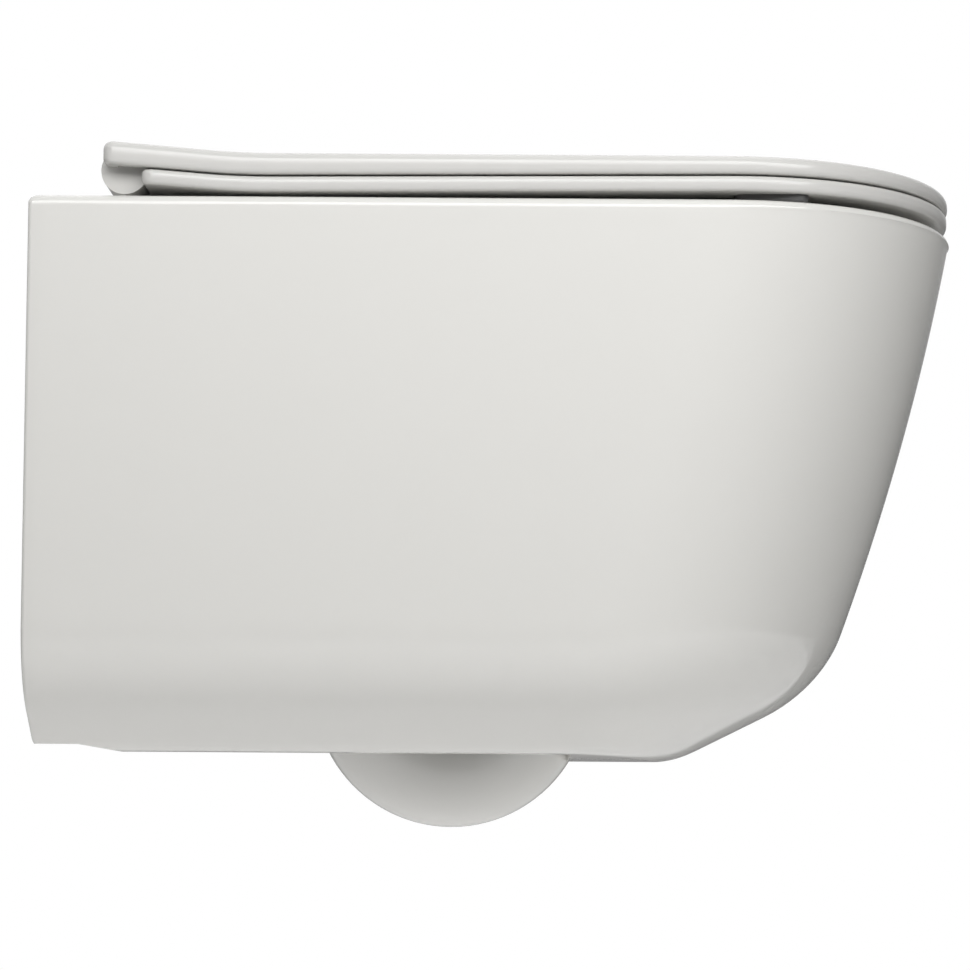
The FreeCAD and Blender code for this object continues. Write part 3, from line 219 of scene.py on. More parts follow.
class FixingSizes(bpy.types.PropertyGroup):
    """Sizes of the wall fixings and of the flush inlet's seal."""
    bore: length("Bore", "Clearance radius around a stud", 0.0064)
    sleeve: length("Stud sleeve", "Radius of a stud sleeve", 0.0088)
    flange: length("Flange", "Radius of its flange", 0.0135)
    flange_height: length("Flange height", "Thickness of its flange", 0.0025)
    flange_edge: length("Flange edge", "Rounding of the flange's edges", 0.0005)
    washer: length("Washer", "Radius of a washer", 0.016)
    washer_height: length("Washer height", "Thickness of a washer", 0.0025)
    washer_edge: length("Washer edge", "Rounding of a washer's edges", 0.000625)
    nut_flats: length("Nut", "Width of a nut across its flats", 0.019)
    nut_height: length("Nut height", "Height of a nut", 0.010)
    nut_bore: length("Nut bore", "Bore radius of a nut", 0.0061)
    seal_bore: length("Seal bore", "Bore radius of the flush seal", 0.0226)
    seal: length("Seal", "Outside radius of the flush seal", 0.0274)
    seal_start: length("Seal start", "Wall to the seal", 0.001)
    seal_end: length("Seal end", "Wall to the inner end of the seal", 0.036)
    seal_bevel: length("Seal bevel", "Bevel at the seal's mouth", 0.001)
    seal_rim: length("Seal rim", "Plain rim at each end of the seal", 0.004)


class Finishes(bpy.types.PropertyGroup):
    """Colours of the finishes."""
    glaze: colour("Glaze", "Warm white glaze of the pan", (0.79, 0.782, 0.752))
    plastic: colour("Seat plastic", "Seat and lid", (0.68, 0.672, 0.65))
    # Near black, partly painted shade: the buffers' grey is darkened to stand in for the shade in
    # the narrow gaps under seat and lid; the hinge base pads share this colour
    pads: colour("Pads", "Soft pads and buffers", (0.09, 0.09, 0.09))
    rubber: colour("Rubber", "Seal and expansion sleeves", (0.028, 0.028, 0.028))
    nylon: colour("Nylon", "Bushes, dampers and stud sleeves", (0.78, 0.77, 0.74))
    chrome: colour("Chrome", "Hinge posts and bases", (0.82, 0.82, 0.83))
    zinc: colour("Zinc", "Screws, pins, nuts and washers", (0.62, 0.61, 0.58))
    floor: colour("Floor", "Floor", (0.86, 0.86, 0.86))


def pan():
    return bpy.context.scene.toilet_pan


def board():
    return bpy.context.scene.toilet_board


def hinge():
    return bpy.context.scene.toilet_hinge


def fixings():
    return bpy.context.scene.toilet_fixings


def finishes():
    return bpy.context.scene.toilet_finishes


# ---- node fields

def node(tree, kind, inputs=None, **settings):
    """Add a node; its inputs get numbers, or sockets and fields to link."""
    made = tree.nodes.new(kind)
    for name, value in settings.items():
        setattr(made, name, value)
    for name, value in (inputs or {}).items():
        value = getattr(value, "socket", value)
        if isinstance(value, bpy.types.NodeSocket):
            tree.links.new(value, made.inputs[name])
        else:
            made.inputs[name].default_value = value
    return made


class Field:
    """A number in a node tree; sums, products and the like add the Math nodes."""

    def __init__(self, tree, socket):
        self.tree = tree
        self.socket = socket

    def math(self, operation, other):
        made = node(self.tree, "ShaderNodeMath", {0: self, 1: other}, operation=operation)
        return Field(self.tree, made.outputs[0])

    def __add__(self, other):
        return self.math("ADD", other)

    def __sub__(self, other):
        return self.math("SUBTRACT", other)

    def __mul__(self, other):
        return self.math("MULTIPLY", other)

    def __truediv__(self, other):
        return self.math("DIVIDE", other)

    def clamp(self, low, high):
        return self.math("MAXIMUM", low).math("MINIMUM", high)


def group_inputs(tree, sizes):
    """Add named number sockets to a tree, and give back its input node and them as fields."""
    for name, default in sizes.items():
        socket = tree.interface.new_socket(name, in_out="INPUT", socket_type="NodeSocketFloat")
        socket.default_value = default
    start = tree.nodes.new("NodeGroupInput")
    return start, {name: Field(tree, start.outputs[name]) for name in sizes}


def geometry_tree(name, sizes):
    """A Geometry Nodes tree with a mesh input, a material input and named sizes."""
    tree = bpy.data.node_groups.new(name, "GeometryNodeTree")
    tree.is_modifier = True
    for socket, end, kind in (("Geometry", "OUTPUT", "Geometry"), ("Geometry", "INPUT", "Geometry"),
                              ("Material", "INPUT", "Material")):
        tree.interface.new_socket(socket, in_out=end, socket_type="NodeSocket" + kind)
    return tree, *group_inputs(tree, sizes)


def end_tree(tree, start, geometry):
    """End a geometry tree in Realize Instances and Set Material."""
    real = node(tree, "GeometryNodeRealizeInstances", {"Geometry": geometry})
    paint = node(tree, "GeometryNodeSetMaterial",
                 {"Geometry": real.outputs["Geometry"], "Material": start.outputs["Material"]})
    node(tree, "NodeGroupOutput", {"Geometry": paint.outputs["Geometry"]})
    return tree


def grown(item, tree, material, **sizes):
    """Run a geometry tree on an object and keep the result as its plain mesh."""
    modifier = item.modifiers.new("grow", "NODES")
    modifier.node_group = tree
    names = {name.replace("_", " ").capitalize(): value for name, value in sizes.items()}
    names["Material"] = material
    for socket in tree.interface.items_tree:
        if socket.in_out == "INPUT" and socket.name in names:
            modifier[socket.identifier] = names[socket.name]
    return settled(item)


def settled(item):
    """Replace an object's mesh by its evaluated one and drop the modifiers."""
    built = item.evaluated_get(bpy.context.evaluated_depsgraph_get())
    shape, old = bpy.data.meshes.new_from_object(built), item.data
    item.modifiers.clear()
    item.data = shape
    bpy.data.meshes.remove(old)
    return item


# ---- meshes
OVERRUN = 0.005  # how far a cutting tool runs past a face
WIDE = 0.4  # past the sides of the pan
BOX_FACES = ((0, 1, 2, 3), (4, 5, 6, 7), (0, 1, 5, 4), (1, 2, 6, 5), (2, 3, 7, 6), (3, 0, 4, 7))


def new_object(name, points, faces):
    shape = bpy.data.meshes.new(name)
    shape.from_pydata(points, [], faces)
    shape.validate()
    item = bpy.data.objects.new(name, shape)
    bpy.context.collection.objects.link(item)
    return item


def outward(item, merge=1e-6):
    """Weld doubles and turn the faces of a closed mesh outwards."""
    tool = bmesh.new()
    tool.from_mesh(item.data)
    bmesh.ops.remove_doubles(tool, verts=tool.verts, dist=merge)
    bmesh.ops.recalc_face_normals(tool, faces=tool.faces)
    tool.to_mesh(item.data)
    tool.free()
    return item


def skinned(name, rings, ends=True):
    """Join rings of equal count by quads, and close both ends by fans or join them."""
    count = len(rings[0])
    points = [point for ring in rings for point in ring]
    faces = []
    rows = len(rings) - 1 if ends else len(rings)
    for row in range(rows):
        base, following = row * count, (row + 1) % len(rings) * count
        for n in range(count):
            after = (n + 1) % count
            faces.append((base + n, base + after, following + after, following + n))
    if ends:
        for ring, base in ((rings[0], 0), (rings[-1], (len(rings) - 1) * count)):
            middle = sum((Vector(point) for point in ring), Vector()) / count
            points.append(tuple(middle))
            hub = len(points) - 1
            faces += [(base + n, base + (n + 1) % count, hub) for n in range(count)]
    return outward(new_object(name, points, faces))


def lathe(name, outline, origin, axis, segments=64):
    """Turn a closed outline of (radius, height) pairs about an axis through the origin."""
    forward = Vector(axis).normalized()
    side = forward.orthogonal().normalized()
    up = forward.cross(side)
    rings = []
    for turn in around(segments):
        spoke = side * math.cos(turn) + up * math.sin(turn)
        rings.append([tuple(Vector(origin) + spoke * radius + forward * height)
                      for radius, height in outline])
    return skinned(name, rings, ends=False)


def rod(name, radius, start, end, segments=128):
    """A plain closed cylinder between two points."""
    start, end = Vector(start), Vector(end)
    forward = (end - start).normalized()
    side = forward.orthogonal().normalized()
    up = forward.cross(side)
    spokes = [side * math.cos(turn) + up * math.sin(turn) for turn in around(segments)]
    return skinned(name, [[tuple(at + spoke * radius) for spoke in spokes] for at in (start, end)])


def along_x(name, radius, start, end, y, z):
    return rod(name, radius, (start, y, z), (end, y, z))


def block(name, low, high):
    """A closed box between two corners."""
    x0, y0, z0 = low
    x1, y1, z1 = high
    points = [(x, y, z) for z in (z0, z1) for x, y in ((x0, y0), (x1, y0), (x1, y1), (x0, y1))]
    return outward(new_object(name, points, BOX_FACES))


def combined(item, operation, *tools):
    """Join tools to a closed mesh or cut them out of it, and remove the tools."""
    for tool in tools:
        modifier = item.modifiers.new("shape", "BOOLEAN")
        modifier.operation = operation
        modifier.solver = "MANIFOLD"
        modifier.object = tool
    settled(item)
    for tool in tools:
        shape = tool.data
        bpy.data.objects.remove(tool)
        bpy.data.meshes.remove(shape)
    return item


def smooth(item, degrees=35):
    """Shade smooth, with sharp edges where the faces turn by more than an angle."""
    shape = item.data
    shape.polygons.foreach_set("use_smooth", [True] * len(shape.polygons))
    shape.set_sharp_from_angle(angle=math.radians(degrees))
    return item


def finished(item, body, slot, *nodes):
    """Give a piece its material, and hand it to the frame."""
    item.data.materials.clear()
    item.data.materials.append(finish(slot))
    item.data.polygons.foreach_set("material_index", [0] * len(item.data.polygons))
    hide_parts(*nodes)
    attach(item, body)
    return item


# ---- outlines
REAR_STEPS, CORNER_STEPS, SIDE_STEPS, NOSE_STEPS = 14, 4, 44, 96


def around(count):
    """Evenly spaced turns of a full circle."""
    return [2 * math.pi * n / count for n in range(count)]


def steps(start, end, count):
    return [start + (end - start) * n / count for n in range(count + 1)]


def quarter(count=6):
    """Turns from 0 to a right angle."""
    return steps(0, math.pi / 2, count)


def rounding(edge, count=6):
    """A rounded edge from level to upright, as (inset, height) pairs."""
    return [(edge * (1 - math.sin(turn)), edge * (1 - math.cos(turn))) for turn in quarter(count)]


def nose_outline(rear, corner, start, front, half):
    """Points of a straight-sided outline with a half-ellipse nose, from the middle of its rear."""
    side = [(rear, half * n / REAR_STEPS * (1 - corner / half)) for n in range(REAR_STEPS)]
    for turn in quarter(CORNER_STEPS)[:-1]:
        side.append((rear + corner * (1 - math.cos(turn)), half - corner * (1 - math.sin(turn))))
    side += [(x, half) for x in steps(rear + corner, start, SIDE_STEPS)[:-1]]
    nose = [(start + (front - start) * math.sin(turn), half * math.cos(turn))
            for turn in steps(0, math.pi, NOSE_STEPS)]
    return side + nose + [(x, -y) for x, y in reversed(side[1:])]


def egg_outline(bearings, rear, centre, front, half):
    """Points of an egg of two half-ellipses, one for each bearing from its centre."""
    points = []
    for bearing in bearings:
        across, along = math.sin(bearing), math.cos(bearing)
        reach = front - centre if along > 0 else centre - rear
        distance = 1 / math.hypot(along / reach, across / half)
        points.append((centre + distance * along, distance * across))
    return points


def bearings_of(ring, centre):
    return [math.atan2(y, x - centre) for x, y, z in ring]


def raised(outline, z):
    return [(x, y, z) for x, y in outline]


def blend(first, second, share):
    return [tuple(a + (b - a) * share for a, b in zip(p, q)) for p, q in zip(first, second)]


# ---- pan

def front_at(z):
    """Foremost point of the pan, without its tuck, at a height."""
    drop = RIM - z
    return pan().projection - math.tan(pan().lean) * drop - drop ** 2 / (2 * pan().bow)


def tuck_at(z):
    """How far the sides are drawn in at a height."""
    depth = pan().tuck_height - (z - RIM + pan().height)
    radius, turn = pan().tuck_radius, pan().tuck_angle
    if depth <= 0:
        return 0.0
    if depth <= radius * math.sin(turn):
        return radius - math.sqrt(radius ** 2 - depth ** 2)
    return radius * (1 - math.cos(turn)) + (depth - radius * math.sin(turn)) * math.tan(turn)


def skin_outline(z, inset=0.0, rear=0.0, corner=None):
    """Outline of the pan at a height, a distance inside its skin."""
    front = front_at(z)
    inset += tuck_at(z)
    corner = pan().wall_edge if corner is None else corner
    return nose_outline(rear, corner, front - pan().nose, front - inset, pan().half_width - inset)


def sole_at(y):
    """Height of the sole, a shallow barrel that is lowest on the middle line."""
    half = pan().half_width - pan().sole_inset
    return RIM - pan().height - pan().sole_drop * (1 - (y / half) ** 2)


def bowl_ring(bearings, depth, wall):
    """Outline of the bowl at a share of its depth, and its height."""
    p = pan()
    share = (1 - math.cos(math.pi * max(depth, 0) ** p.bowl_fullness)) / 2
    drain = p.trap_x + p.trap_bend
    ends = ((p.bowl_rear, drain - p.trap_bore), (p.bowl_centre, drain),
            (p.bowl_front, drain + p.trap_bore), (p.bowl_half, p.trap_bore))
    rear, centre, front, half = (a + (b - a) * share for a, b in ends)
    return raised(egg_outline(bearings, rear - wall, centre, front + wall, half + wall),
                  RIM - (p.height - p.trap_rise) * depth)


def trap_tube(name, bore, outlet_bore, above, end):
    """The waterway or its outside, from the drain round the U bend and out to the wall."""
    p = pan()
    bearings = around(128)
    low = RIM - p.height + p.trap_rise
    bend, rise = p.trap_bend, -p.outlet_drop - p.trap_bend
    crown = p.trap_x - 2 * bend
    path = [(p.trap_x + bend, low + above, 0)]
    path += [(p.trap_x + bend * math.cos(t), low - bend * math.sin(t), -t)
             for t in steps(0, math.pi, 48)[0 if above else 1:]]
    path += [(p.trap_x - bend, z, -math.pi) for z in steps(low, rise, 8)[1:]]
    path += [(crown + bend * math.cos(t), rise + bend * math.sin(t), t - math.pi)
             for t in quarter(24)[1:]]
    path = [(x, z, turn, bore) for x, z, turn in path]
    level = [(p.taper_start, bore), (p.taper_end, outlet_bore), (end, outlet_bore)]
    path += [(x, -p.outlet_drop, -math.pi / 2, radius) for x, radius in level]
    rings = []
    for x, z, turn, radius in path:
        rings.append([(x + radius * math.cos(b) * math.cos(turn), radius * math.sin(b),
                       z + radius * math.cos(b) * math.sin(turn)) for b in bearings])
    return skinned(name, rings)


SOLE_HUB, SOLE_SHARE = 0.04, 0.945  # innermost ring of the sole, and where its rounding begins
SKIN_STEPS, BOWL_STEPS = 90, 60  # rings from the sole to the rim, and down the bowl
BOWL_OVER = -0.02  # share of the bowl's depth at which its outside starts, above the rim
DRAIN_LAP, SPIGOT_LAP = 0.001, 0.013  # how far the waterway's cut runs past the drain and spigot


def pan_form():
    """The pan without its hollow: sole, skin, rim and bowl as one stack of rings."""
    p = pan()
    edge, top, bottom = p.rim_edge, RIM - p.rim_edge, RIM - p.height
    columns = []
    for n in range(len(skin_outline(bottom))):
        z = bottom
        for _ in range(6):  # closes in on where the skin meets the sole
            z = sole_at(skin_outline(z)[n][1])
        columns.append(z)

    def skin(rise, share):
        """Ring on the skin, a share of the way from a rise above the sole to the rim."""
        heights = [low + rise + (top - low - rise) * share for low in columns]
        return [skin_outline(z)[n] + (z,) for n, z in enumerate(heights)]

    centre, corner = p.sole_start / 2, skin(0, 0)

    def sole(share):
        return [(x, y, sole_at(y)) for x, y, z in shrunk(corner, share, centre)]

    rings = [sole(share) for share in steps(SOLE_HUB, SOLE_SHARE, 24)]
    above = skin(p.sole_round, 0)
    for share in steps(0, 1, 8)[1:-1]:
        first, second = blend(sole(SOLE_SHARE), corner, share), blend(corner, above, share)
        rings.append(blend(first, second, share))
    rings += [skin(p.sole_round, share) for share in steps(0, 1, SKIN_STEPS)]
    for turn in quarter(8)[1:]:
        inset = edge * (1 - math.cos(turn))
        rings.append(raised(skin_outline(RIM, inset, inset), top + edge * math.sin(turn)))
    rim = rings[-1]
    bearings = bearings_of(rim, p.bowl_centre)
    mouth = bowl_ring(bearings, 0, p.bowl_edge)
    rings += [blend(rim, mouth, share) for share in steps(0, 1, 10)[1:]]
    depth = p.height - p.trap_rise
    for turn in quarter(8)[1:]:
        drop = p.bowl_edge * (1 - math.cos(turn))
        rings.append(bowl_ring(bearings, drop / depth, p.bowl_edge * (1 - math.sin(turn))))
    start = p.bowl_edge / depth
    rings += [bowl_ring(bearings, share, 0) for share in steps(start, 1, BOWL_STEPS)[1:]]
    return skinned("pan_ceramic", rings)


def pan_hollow():
    """What is open behind the shroud, around the bowl, the trap and the pipe sockets."""
    p = pan()
    bottom = RIM - p.height
    heights = steps(RIM - p.deck, bottom - p.sole_drop - 2 * OVERRUN, SKIN_STEPS)
    rings = [raised(skin_outline(z, p.wall, -OVERRUN, OVERRUN), z) for z in heights]
    hollow = skinned("pan_hollow", rings)
    outside = p.socket + p.inlet_wall
    bowl = [bowl_ring(around(160), share, p.bowl_wall)
            for share in steps(BOWL_OVER, 1, BOWL_STEPS)]
    stud = p.stud_spacing / 2
    tools = [
        block("sole_block", (p.sole_start, -WIDE, bottom - p.height),
              (p.projection, WIDE, bottom - p.sole_drop + p.sole_wall)),
        block("stud_wall", (-2 * OVERRUN, -WIDE, -p.web_drop), (p.web, WIDE, RIM + OVERRUN)),
        skinned("bowl_outside", bowl),
        along_x("socket", outside, -2 * OVERRUN, p.socket_depth + p.inlet_wall, 0, p.inlet_rise),
        along_x("channel", p.channel + p.inlet_wall, -2 * OVERRUN, p.bowl_rear + 3 * OVERRUN, 0,
                p.inlet_rise),
    ]
    for side in (1, -1):
        tools.append(along_x("stud_boss", p.stud_boss, -2 * OVERRUN, p.web + p.boss_height,
                             side * stud, 0))
    return combined(hollow, "DIFFERENCE", *tools)


def heel():
    """The relief along the bottom edge beside the wall."""
    p = pan()
    bottom, below = RIM - p.height, p.sole_drop + OVERRUN
    end = p.heel + p.heel_ramp * (1 + below / p.heel_rise)
    corners = [(-OVERRUN, bottom - below), (-OVERRUN, bottom + p.heel_rise),
               (p.heel, bottom + p.heel_rise), (end, bottom - below)]
    points = [(x, y, z) for y in (-WIDE, WIDE) for x, z in corners]
    return outward(new_object("heel", points, BOX_FACES))


class TOILET_OT_pan(bpy.types.Operator):
    """Build the ceramic pan"""
    bl_idname = "toilet.pan"
    bl_label = "Pan"

    def execute(self, context):
        p, h = pan(), hinge()
        stud = p.stud_spacing / 2
        tools = [
            trap_tube("waterway", p.trap_bore, p.spigot_bore, DRAIN_LAP,
                      p.spigot_start - SPIGOT_LAP),
            along_x("socket_hole", p.socket, -OVERRUN, p.socket_depth, 0, p.inlet_rise),
            along_x("channel_hole", p.channel, -OVERRUN, p.bowl_rear + 10 * OVERRUN, 0,
                    p.inlet_rise),
            heel(),
        ]
        for side in (1, -1):
            tools.append(along_x("stud_hole", p.stud_hole, -OVERRUN, 6 * OVERRUN, side * stud, 0))
            tools.append(rod("deck_hole", h.hole, (h.x, side * h.half, RIM - 4 * OVERRUN),
                             (h.x, side * h.half, RIM + OVERRUN)))
        piece = combined(pan_form(), "DIFFERENCE", pan_hollow())
        outside = trap_tube("trap_outside", p.trap_bore + p.trap_wall, p.spigot, 0, p.spigot_start)
        combined(piece, "UNION", outside)
        combined(piece, "DIFFERENCE", *tools)
        smooth(piece)
        finished(piece, "pan", "glaze", "pan")
        return {"FINISHED"}


# ---- seat and lid

def bent_board_tree():
    """Geometry Nodes: turn a level board's rear up round a bend, and let it rise to the front."""
    sizes = {"Bend": 0.1, "Slope": 0.08, "Reach": 0.02, "Rise": 0.0}
    tree, start, size = geometry_tree("Bent board", sizes)
    place = node(tree, "GeometryNodeInputPosition").outputs[0]
    x = Field(tree, node(tree, "ShaderNodeSeparateXYZ", {0: place}).outputs["X"])
    behind = size["Bend"] + size["Reach"] - x
    curved = behind.clamp(0.0, size["Reach"] * 2.0)
    straight = (behind - size["Reach"] * 2.0).clamp(0.0, 10.0)
    lift = (curved * curved / (size["Reach"] * 4.0) + straight) * size["Slope"]
    lift = lift + (x - size["Bend"]) * size["Rise"]
    shift = node(tree, "ShaderNodeCombineXYZ", {"Z": lift})
    move = node(tree, "GeometryNodeSetPosition",
                {"Geometry": start.outputs["Geometry"], "Offset": shift.outputs[0]})
    return end_tree(tree, start, move.outputs["Geometry"])


def bent(item, rise):
    b = board()
    return grown(item, bent_board_tree(), finish("duroplast"), bend=b.bend, slope=math.tan(b.kick),
                 reach=b.bend_radius * math.tan(b.kick / 2), rise=math.tan(rise))


SHARPEST = 0.0005  # smallest corner radius in plan


def board_outline(rear, corner, inset, z):
    """Plan outline of the seat or the lid, a distance inside the edge of the rim."""
    p = pan()
    corner = max(corner - inset, SHARPEST)
    return raised(nose_outline(rear + inset, corner, p.projection - p.nose, p.projection - inset,
                               p.half_width - inset), z)


def shrunk(ring, share, centre):
    """A ring drawn in towards a point on the middle line."""
    return [(centre + (x - centre) * share, y * share, z) for x, y, z in ring]


def outer_knuckle():
    """Ends of the seat's knuckle on one side, from the middle plane."""
    start = hinge().half + hinge().post_width / 2 + hinge().knuckle_gap
    return start, start + hinge().knuckle_length


def inner_knuckle():
    """Ends of the lid's knuckle on one side, from the middle plane."""
    end = hinge().half - hinge().post_width / 2 - hinge().knuckle_gap
    return end - hinge().knuckle_length, end


def hinge_point(y):
    return hinge().x, y, RIM + hinge().rise


def hinge_rod(name, radius, start, end):
    return rod(name, radius, hinge_point(start), hinge_point(end))


def hinge_sector(name, radius, first, last, start, end):
    """A sector about the hinge line; 0 degrees is the front, 90 up and 180 the wall."""
    x, _, z = hinge_point(0)
    turns = steps(math.radians(first), math.radians(last), 48)
    rings = []
    for y in (start, end):
        ring = [(x + radius * math.cos(turn), y, z + radius * math.sin(turn)) for turn in turns]
        rings.append(ring + [hinge_point(y)])
    return skinned(name, rings)


def seat_rings():
    """The seat's ring before it is bent: outer edge, top, edge of the hole and underside."""
    b = board()
    low, high = RIM + b.seat_low, RIM + b.seat_low + b.seat_thick
    edge, lip = b.seat_edge, b.hole_edge
    rows = [(inset, low + rise) for inset, rise in rounding(edge)]
    rows += [(inset, high - drop) for drop, inset in rounding(edge)]
    rings = [board_outline(b.seat_rear, b.seat_corner, b.seat_inset + inset, z)
             for inset, z in rows]
    centre = (b.hole_rear + b.hole_front) / 2
    bearings = bearings_of(rings[0], centre)

    def hole(inset, z):
        return raised(egg_outline(bearings, b.hole_rear - inset, centre, b.hole_front + inset,
                                  b.hole_half + inset), z)

    top, bottom = rings[-1], rings[0]
    rings += [blend(top, hole(lip, high), share) for share in steps(0, 1, 12)[1:]]
    rings += [hole(inset, high - drop) for inset, drop in rounding(lip)[1:]]
    rings += [hole(inset, low + rise) for rise, inset in rounding(lip)]
    rings += [blend(rings[-1], bottom, share) for share in steps(0, 1, 12)[1:-1]]
    return rings


class TOILET_OT_seat(bpy.types.Operator):
    """Build the seat ring with its arms and knuckles"""
    bl_idname = "toilet.seat"
    bl_label = "Seat"

    def execute(self, context):
        b, h = board(), hinge()
        piece = bent(skinned("seat_ring", seat_rings(), ends=False), b.rise)
        reach = h.roll_end + h.roll_gap
        combined(piece, "DIFFERENCE", hinge_rod("roll_room", h.roll + h.roll_gap, -reach, reach))
        start, end = outer_knuckle()
        axis = RIM + h.rise
        added = []
        for side in (1, -1):
            near, far = sorted((side * start, side * end))
            added.append(block("arm", (h.x, near, axis - h.arm_low),
                               (b.seat_rear + h.arm_lap, far, axis - h.arm_high)))
            added.append(hinge_rod("knuckle", h.knuckle, near, far))
        combined(piece, "UNION", *added)
        inside, past = end - h.knuckle_end, start - OVERRUN
        combined(piece, "DIFFERENCE", hinge_rod("bush_bore", h.bush_bore, past, inside),
                 hinge_rod("damper_bore", h.damper_bore, -past, -inside))
        smooth(piece)
        finished(piece, "seat", "duroplast", "seat")
        return {"FINISHED"}


LID_MIDDLE, LID_HUB = 0.29, 0.03  # wall to where its rings close, and the innermost one's share


def lid_rings():
    """The lid before it is bent: top, outer edge, lower edge and the hollow underside."""
    b = board()
    top, upper, lower, wall = RIM + b.lid_top, b.lid_upper, b.lid_lower, b.lid_rim
    skin, inner = top - b.lid_skin, b.lid_inner

    def low(x):
        return RIM + b.seat_low + b.seat_thick + b.lid_gap + (x - b.bend) * math.tan(b.rise)

    def ring(inset, height):
        outline = board_outline(b.lid_rear, b.lid_corner, b.lid_inset + inset, 0)
        return [(x, y, height(x)) for x, y, z in outline]

    crown = ring(upper, lambda x: top)
    rings = [shrunk(crown, share, LID_MIDDLE) for share in steps(LID_HUB, 1, 26)]
    rings += [ring(inset, lambda x, drop=drop: top - drop)
              for inset, drop in rounding(upper, 8)[1:]]
    rings += [ring(inset, lambda x, rise=rise: low(x) + rise) for rise, inset in rounding(lower)]
    rings += [ring(wall, lambda x, share=share: low(x) + (skin - inner - low(x)) * share)
              for share in steps(0, 1, 2)]
    rings += [ring(wall + inset, lambda x, drop=drop: skin - drop)
              for drop, inset in rounding(inner, 4)[1:]]
    return rings + [shrunk(rings[-1], share, LID_MIDDLE) for share in steps(1, LID_HUB, 26)[1:]]


WALL_END, OPEN_END = 212, 398  # the roll is open between these turns about the hinge line
WEB_START, WEB_END = 44, 208  # and its webs lie between these


class TOILET_OT_lid(bpy.types.Operator):
    """Build the lid with the roll that covers the hinges"""
    bl_idname = "toilet.lid"
    bl_label = "Lid"

    def execute(self, context):
        h = hinge()
        piece = bent(skinned("lid_cover", lid_rings()), 0)
        combined(piece, "UNION", hinge_rod("roll", h.roll, -h.roll_end, h.roll_end))
        room = h.roll_end - h.roll_cheek
        x, _, z = hinge_point(0)
        edge = h.half - h.notch_width / 2
        notches, knuckles = [], []
        start, end = inner_knuckle()
        for side in (1, -1):
            near, far = sorted((side * edge, side * (edge + h.notch_width)))
            notches.append(block("notch", (x - h.notch_length, near, z - h.notch_length),
                                 (x + h.notch_length, far, z + h.notch_length)))
            knuckles.append(hinge_rod("knuckle", h.knuckle, side * start, side * end))
            knuckles.append(hinge_sector("web", h.web, WEB_START, WEB_END,
                                         side * start, side * edge))
        combined(piece, "DIFFERENCE", hinge_rod("roll_room", h.roll - h.roll_wall, -room, room),
                 hinge_sector("roll_mouth", h.roll + h.knuckle_gap, WALL_END, OPEN_END,
                              -room, room), *notches)
        combined(piece, "UNION", *knuckles)
        inside, past = start + h.knuckle_end, end + OVERRUN
        combined(piece, "DIFFERENCE", hinge_rod("damper_bore", h.damper_bore, inside, past),
                 hinge_rod("bush_bore", h.bush_bore, -inside, -past))
        smooth(piece)
        finished(piece, "lid", "duroplast", "lid")
        return {"FINISHED"}


# ---- pieces in rows and pairs

def pairs_tree():
    """Geometry Nodes: a piece on the middle plane, set in pairs and rows at even distances."""
    tree, start, size = geometry_tree("Pieces in pairs",
                                      {"Half spacing": 0.1, "Pitch": 0.0, "Rows": 1.0})
    grid = node(tree, "GeometryNodeMeshGrid",
                {"Size X": size["Pitch"], "Size Y": size["Half spacing"] * 2.0,
                 "Vertices X": size["Rows"], "Vertices Y": 2})
    copies = node(tree, "GeometryNodeInstanceOnPoints",
                  {"Points": grid.outputs["Mesh"], "Instance": start.outputs["Geometry"]})
    return end_tree(tree, start, copies.outputs["Instances"])


def paired(item, half, body, slot, *nodes, pitch=0.0, rows=1):
    """Set a piece in pairs, shade what comes out and hand it to the frame."""
    tree = bpy.data.node_groups.get("Pieces in pairs") or pairs_tree()
    smooth(grown(item, tree, finish(slot), half_spacing=half, pitch=pitch, rows=float(rows)))
    return finished(item, body, slot, *nodes)


def edged(inner, outer, low, high, edge):
    """Corners of a ring's section with its outer edges rounded, as (radius, height) pairs."""
    lower = [(outer - inset, low + rise) for inset, rise in rounding(edge, 4)]
    upper = [(outer - inset, high - drop) for drop, inset in rounding(edge, 4)]
    return [(inner, low)] + lower + upper + [(inner, high)]


BUFFER_EDGE = 0.15  # rounding of a buffer's lower edge, as a share of its width


def oval_pad(name, x, length, width, low, high):
    """An oval buffer whose lower edge is rounded."""
    half, run, edge = width / 2, (length - width) / 2, BUFFER_EDGE * width
    rows = [(inset, low + rise) for inset, rise in rounding(edge, 4)] + [(0.0, high)]
    rings = []
    for inset, z in rows:
        ring = []
        for side in (1, -1):
            for turn in steps(-math.pi / 2, math.pi / 2, 12):
                ring.append((x + side * (run + (half - inset) * math.cos(turn)),
                             side * (half - inset) * math.sin(turn), z))
        rings.append(ring)
    return skinned(name, rings)


class TOILET_OT_buffers(bpy.types.Operator):
    """Build the buffers of the seat and of the lid"""
    bl_idname = "toilet.buffers"
    bl_label = "Buffers"

    def execute(self, context):
        b = board()
        low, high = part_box("seat_buffers")
        middle, pitch = (b.pad_front + b.pad_rear) / 2, b.pad_front - b.pad_rear
        piece = oval_pad("seat_pads", middle, b.pad_length, b.pad_width, low[2], high[2])
        paired(piece, b.pad_half, "seat", "soft_pad", "seat_buffers", pitch=pitch, rows=2)
        low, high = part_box("lid_buffers")
        piece = oval_pad("lid_pads", b.lid_pad_x, b.lid_pad_length, b.lid_pad_width,
                         low[2], high[2])
        paired(piece, b.lid_pad_half, "lid", "soft_pad", "lid_buffers")
        return {"FINISHED"}


